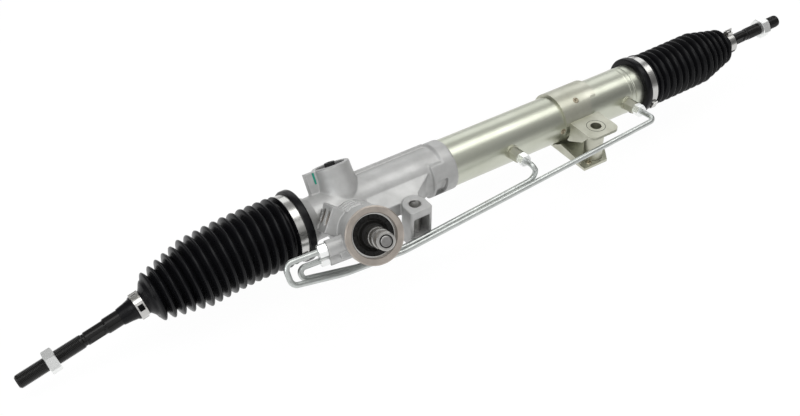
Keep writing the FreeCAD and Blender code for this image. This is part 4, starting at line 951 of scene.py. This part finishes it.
for name, mount in MOUNTS.items():
    if mount["kind"] == "threaded_hole" or name == "lower_hose_port":
        port_thread = thread(mount["dims"]["r_mm"] + FLANK_GAP, PORT_DEPTH, PORT_PITCH, *PORT_SPAN)
        lay(port_thread, Vector(mount["pos_m"]), upright(mount["axis"]))
        piece(name + "_thread", port_thread, MACHINED, "housing", corner=SOFT_CORNER)
print("threads wound")

# %% [markdown]
# The steering column's yoke slides onto fine splines near the end of the input shaft.
# They could be cut with booleans, but so many small cuts leave untidy faces. Instead one
# tooth is shaped from a cube and spun round the shaft as separate copies.

# %% Splines
SPLINE_TEETH = 36
SPLINE_R = 9.38
SPLINE_SPAN = (127.2, 139.2)
SPLINE_DEPTH = 0.9
SPLINE_WIDTH = 0.95
TIP_WIDTH = 0.45
TIP_LENGTH = 0.95
spline_bm = bmesh.new()
bmesh.ops.create_cube(spline_bm, size=1.0)
long_way = SPLINE_SPAN[1] - SPLINE_SPAN[0]
bmesh.ops.scale(spline_bm, vec=(SPLINE_DEPTH * MM, SPLINE_WIDTH * MM, long_way * MM),
                verts=spline_bm.verts)
for vertex in spline_bm.verts:
    if vertex.co.x > 0:
        vertex.co.y *= TIP_WIDTH
        vertex.co.z *= TIP_LENGTH
bmesh.ops.translate(spline_bm, vec=((SPLINE_R + 0.12) * MM, 0, sum(SPLINE_SPAN) / 2 * MM),
                    verts=spline_bm.verts)
repeat_round(spline_bm, SPLINE_TEETH)
lay(spline_bm, SHAFT_FOOT, ALONG_SHAFT)
piece("splines", spline_bm, SHAFT_STEEL, "input_shaft")
print("splines", SPLINE_TEETH)

# %% [markdown]
# The dust seal that closes the mouth is moulded with stiffening blocks between its rim
# and its lip, which read as a ring of dark pockets. They are spun the same way, after a
# small bevel, because moulded rubber has no sharp edges.

# %% Seal blocks
SEAL_BLOCKS = 12
BLOCK_SIZE = (5.0, 3.4, 1.7)
BLOCK_PLACE = (18.6, 0, 105.0)
BLOCK_ROUND = 0.45
seal_bm = bmesh.new()
bmesh.ops.create_cube(seal_bm, size=1.0)
bmesh.ops.scale(seal_bm, vec=tuple(side * MM for side in BLOCK_SIZE), verts=seal_bm.verts)
bmesh.ops.bevel(seal_bm, geom=seal_bm.edges[:], offset=BLOCK_ROUND * MM, segments=2, profile=0.5,
                affect="EDGES", material=-1)
bmesh.ops.translate(seal_bm, vec=tuple(step * MM for step in BLOCK_PLACE), verts=seal_bm.verts)
repeat_round(seal_bm, SEAL_BLOCKS)
lay(seal_bm, SHAFT_FOOT, ALONG_SHAFT)
piece("seal_blocks", seal_bm, SEAL_RUBBER, "housing")
print("seal blocks", SEAL_BLOCKS)

# %% [markdown]
# The strap is plug-welded to the tube: each plug is a small dished button with a raised
# ring, brown from the heat. A painted spot wouldn't catch the light on its ring, so each
# plug is turned from a small outline and set along the normal of the surface.

# %% Weld plugs
LOWER_PLATE_TOP = -30.2
PLUG_STEPS = 24
PLUG = [(-0.8, 0.0), (-0.8, 3.6), (0.1, 3.6), (0.5, 3.1), (0.75, 2.4), (0.6, 1.8), (0.15, 1.2),
        (0.1, 0.0)]
WELD = finish("weld_plug", (0.52, 0.47, 0.36), (0.20, 0.17, 0.12), 0.95, (0.26, 0.44),
              (1500, 0.3, 0.10), (400, 0.4))
PLUGS = (("strap_plug", (171.4, -14.8, 26.3), 30.2), ("edge_plug", (145.9, -27.0, 0.6), 27.0))
for name, spot, radius in PLUGS:
    normal = Vector((0, spot[1], spot[2])).normalized()
    foot = at(spot[0], normal.y * radius, normal.z * radius)
    plug_bm = lay(turned(PLUG, PLUG_STEPS), foot, upright(normal))
    piece(name, plug_bm, WELD, "housing")
plate_plug_bm = lay(turned(PLUG, PLUG_STEPS), at(161.4, -56.4, LOWER_PLATE_TOP), upright(UP))
piece("plate_plug", plate_plug_bm, WELD, "housing")
print("weld plugs", len(PLUGS) + 1)

# %% [markdown]
# The bush sleeve is pressed through both plates of the bracket, and a fine dark line of
# shade shows in the gap round it. It is painted shade: a thin dark ring, because a true gap
# of that width would be lost in the picture. Two low beads near the cylinder's end mark
# where the gland inside is held.

# %% Sleeve gaps and tube beads
SLEEVE_R = 10.5
SLEEVE_PLACE = Vector(MOUNTS["bracket_bore"]["pos_m"])
# Each ring is painted shade: a near-black film where the gap round the sleeve lies in shade.
for name, top in (("upper_sleeve_gap_shade", EAR_TOP), ("lower_sleeve_gap_shade", LOWER_PLATE_TOP)):
    gap = [(top - 0.2, SLEEVE_R - 0.35), (top + 0.04, SLEEVE_R - 0.3), (top + 0.04, SLEEVE_R + 0.3),
           (top - 0.2, SLEEVE_R + 0.35)]
    gap_bm = lay(turned(gap), SLEEVE_PLACE, upright(UP))
    piece(name, gap_bm, GAP_SHADE, "housing")
for name, spot in (("first_groove", 249.0), ("second_groove", 254.0)):
    bead = [(spot - 0.9, TUBE_R - 0.1), (spot - 0.5, TUBE_R + 0.16), (spot, TUBE_R + 0.22),
            (spot + 0.5, TUBE_R + 0.16), (spot + 0.9, TUBE_R - 0.1)]
    bead_bm = lay(turned(bead), RACK_ORIGIN, upright(OUT))
    piece(name, bead_bm, TUBE_ZINC, "housing")
print("gaps and beads laid")

# %% [markdown]
# An inspector's dash of green paint runs down the fin of the yoke tower. A mask in the
# casting's material could draw it, but a thin film of its own is easier to place.

# %% Paint dash
DASH_ACROSS = (-24.4, -22.0)
DASH_HEIGHTS = (32.3, 44.3)
FIN_FACE = -4.06
PAINT_FILM = 0.05
dash_bm = bmesh.new()
bmesh.ops.create_grid(dash_bm, x_segments=4, y_segments=12, size=0.5)
round_way = YOKE_WAY.cross(OUT).normalized()
for vertex in dash_bm.verts:
    across = DASH_ACROSS[0] + (vertex.co.x + 0.5) * (DASH_ACROSS[1] - DASH_ACROSS[0])
    height = DASH_HEIGHTS[0] + (vertex.co.y + 0.5) * (DASH_HEIGHTS[1] - DASH_HEIGHTS[0])
    vertex.co = TOWER_FOOT + (OUT * across + round_way * FIN_FACE + YOKE_WAY * height) * MM
bmesh.ops.solidify(dash_bm, geom=dash_bm.faces[:], thickness=PAINT_FILM * MM)
piece("paint_dash", dash_bm, GREEN_PAINT, "housing")
print("paint dash laid")

# %% [markdown]
# The torsion bar's end shows in the middle of the input shaft: a low domed head of oiled
# steel with a dark ring round it, which is painted shade in the gap between bar and shaft.
# Both are turned pieces, the head as the real one is.

# %% Shaft end
SHAFT_END = 158.0
BAR_HEAD_R = 5.8
# Painted shade: a thin near-black ring in the gap round the bar's head.
head_shade = [(SHAFT_END - 0.9, BAR_HEAD_R - 0.75), (SHAFT_END + 0.03, BAR_HEAD_R - 0.6),
          (SHAFT_END + 0.03, BAR_HEAD_R + 0.45), (SHAFT_END - 0.9, BAR_HEAD_R + 0.5)]
head_shade_bm = lay(turned(head_shade), SHAFT_FOOT, ALONG_SHAFT)
piece("head_shade_ring", head_shade_bm, GAP_SHADE, "input_shaft")
head = [(SHAFT_END - 0.9, 0.0), (SHAFT_END - 0.9, 5.1), (SHAFT_END + 0.05, 5.1), (SHAFT_END + 0.45, 4.6),
        (SHAFT_END + 0.6, 3.4), (SHAFT_END + 0.35, 1.9), (SHAFT_END + 0.3, 0.0)]
bar_head_bm = lay(turned(head), SHAFT_FOOT, ALONG_SHAFT)
piece("bar_head", bar_head_bm, DARK_STEEL, "input_shaft")
print("shaft end laid")

# %% [markdown]
# The small clamps are strips with windows, through which the black collar shows. The
# windows could be cut with booleans, but a thin patch of rubber that follows the band's
# curve looks the same at this size and leaves the solid clamp whole.

# %% Clamp windows
CLAMP_OUTER_R = SMALL_SEAT_R + 0.75
CLAMP_WIDTH = 8.7
WINDOW_ANGLES = (-60, 30, 60, 150)
WINDOW_ARC = 0.52
WINDOW_LENGTH = 5.6
WINDOW_SHEET = 0.04


def clamp_windows(low):
    """Bmesh of the windows round a clamp that starts at a height along local Z."""
    windows = bmesh.new()
    for angle in WINDOW_ANGLES:
        patch = bmesh.ops.create_grid(windows, x_segments=6, y_segments=2, size=0.5)
        for vertex in patch["verts"]:
            place = math.radians(angle) + vertex.co.x * WINDOW_ARC
            height = low + CLAMP_WIDTH / 2 + vertex.co.y * WINDOW_LENGTH
            radius = CLAMP_OUTER_R + SKIN
            vertex.co = Vector((math.sin(place) * radius, math.cos(place) * radius, height)) * MM
    bmesh.ops.solidify(windows, geom=windows.faces[:], thickness=WINDOW_SHEET * MM)
    return windows


print("windows in a clamp", len(WINDOW_ANGLES))

# %% [markdown]
# The strip's end stands up on top of the clamp as a square loop. A bent strip would do,
# but one face that is inset to a frame and given the sheet's thickness is much simpler.

# %% Clamp loops
LOOP_HEIGHT = 7.0
LOOP_LENGTH = 9.6
LOOP_RIM = 1.9
LOOP_SHEET = 1.0
LOOP_SINK = 0.6


def clamp_loop(ball, way, low):
    """Bmesh of a clamp's loop, in its place on the upper side of a tie rod."""
    loop = bmesh.new()
    bmesh.ops.create_grid(loop, x_segments=1, y_segments=1, size=0.5)
    bmesh.ops.scale(loop, vec=(LOOP_HEIGHT * MM, LOOP_LENGTH * MM, 1.0), verts=loop.verts)
    rim = bmesh.ops.inset_region(loop, faces=loop.faces[:], thickness=LOOP_RIM * MM, use_boundary=True,
                                 use_even_offset=True)
    middle = [face for face in loop.faces if face not in rim["faces"]]
    bmesh.ops.delete(loop, geom=middle, context="FACES")
    bmesh.ops.solidify(loop, geom=loop.faces[:], thickness=LOOP_SHEET * MM)
    rise = (UP - way * UP.dot(way)).normalized()
    across = way.cross(rise)
    lift = CLAMP_OUTER_R + LOOP_HEIGHT / 2 - LOOP_SINK
    centre = ball + (way * (low + LOOP_LENGTH / 2) + rise * lift) * MM
    for vertex in loop.verts:
        vertex.co = centre + rise * vertex.co.x + way * vertex.co.y + across * vertex.co.z
    return loop


CLAMPS = (
    ("left", LEFT_BALL, LEFT_WAY, 69.0, "left_rod"),
    ("right", RIGHT_BALL, RIGHT_WAY, 98.0, "right_rod"))
for side_name, ball, way, low, rod_body in CLAMPS:
    windows = lay(clamp_windows(low), ball, upright(way))
    piece(side_name + "_clamp_windows", windows, RUBBER, rod_body)
    loop = clamp_loop(ball, way, low)
    piece(side_name + "_clamp_loop", loop, SHAFT_STEEL, rod_body)
print("clamps", len(CLAMPS))

# %% Print the CAD box
print("CAD box", [tuple(round(c, 4) for c in corner) for corner in CAD_BOX])
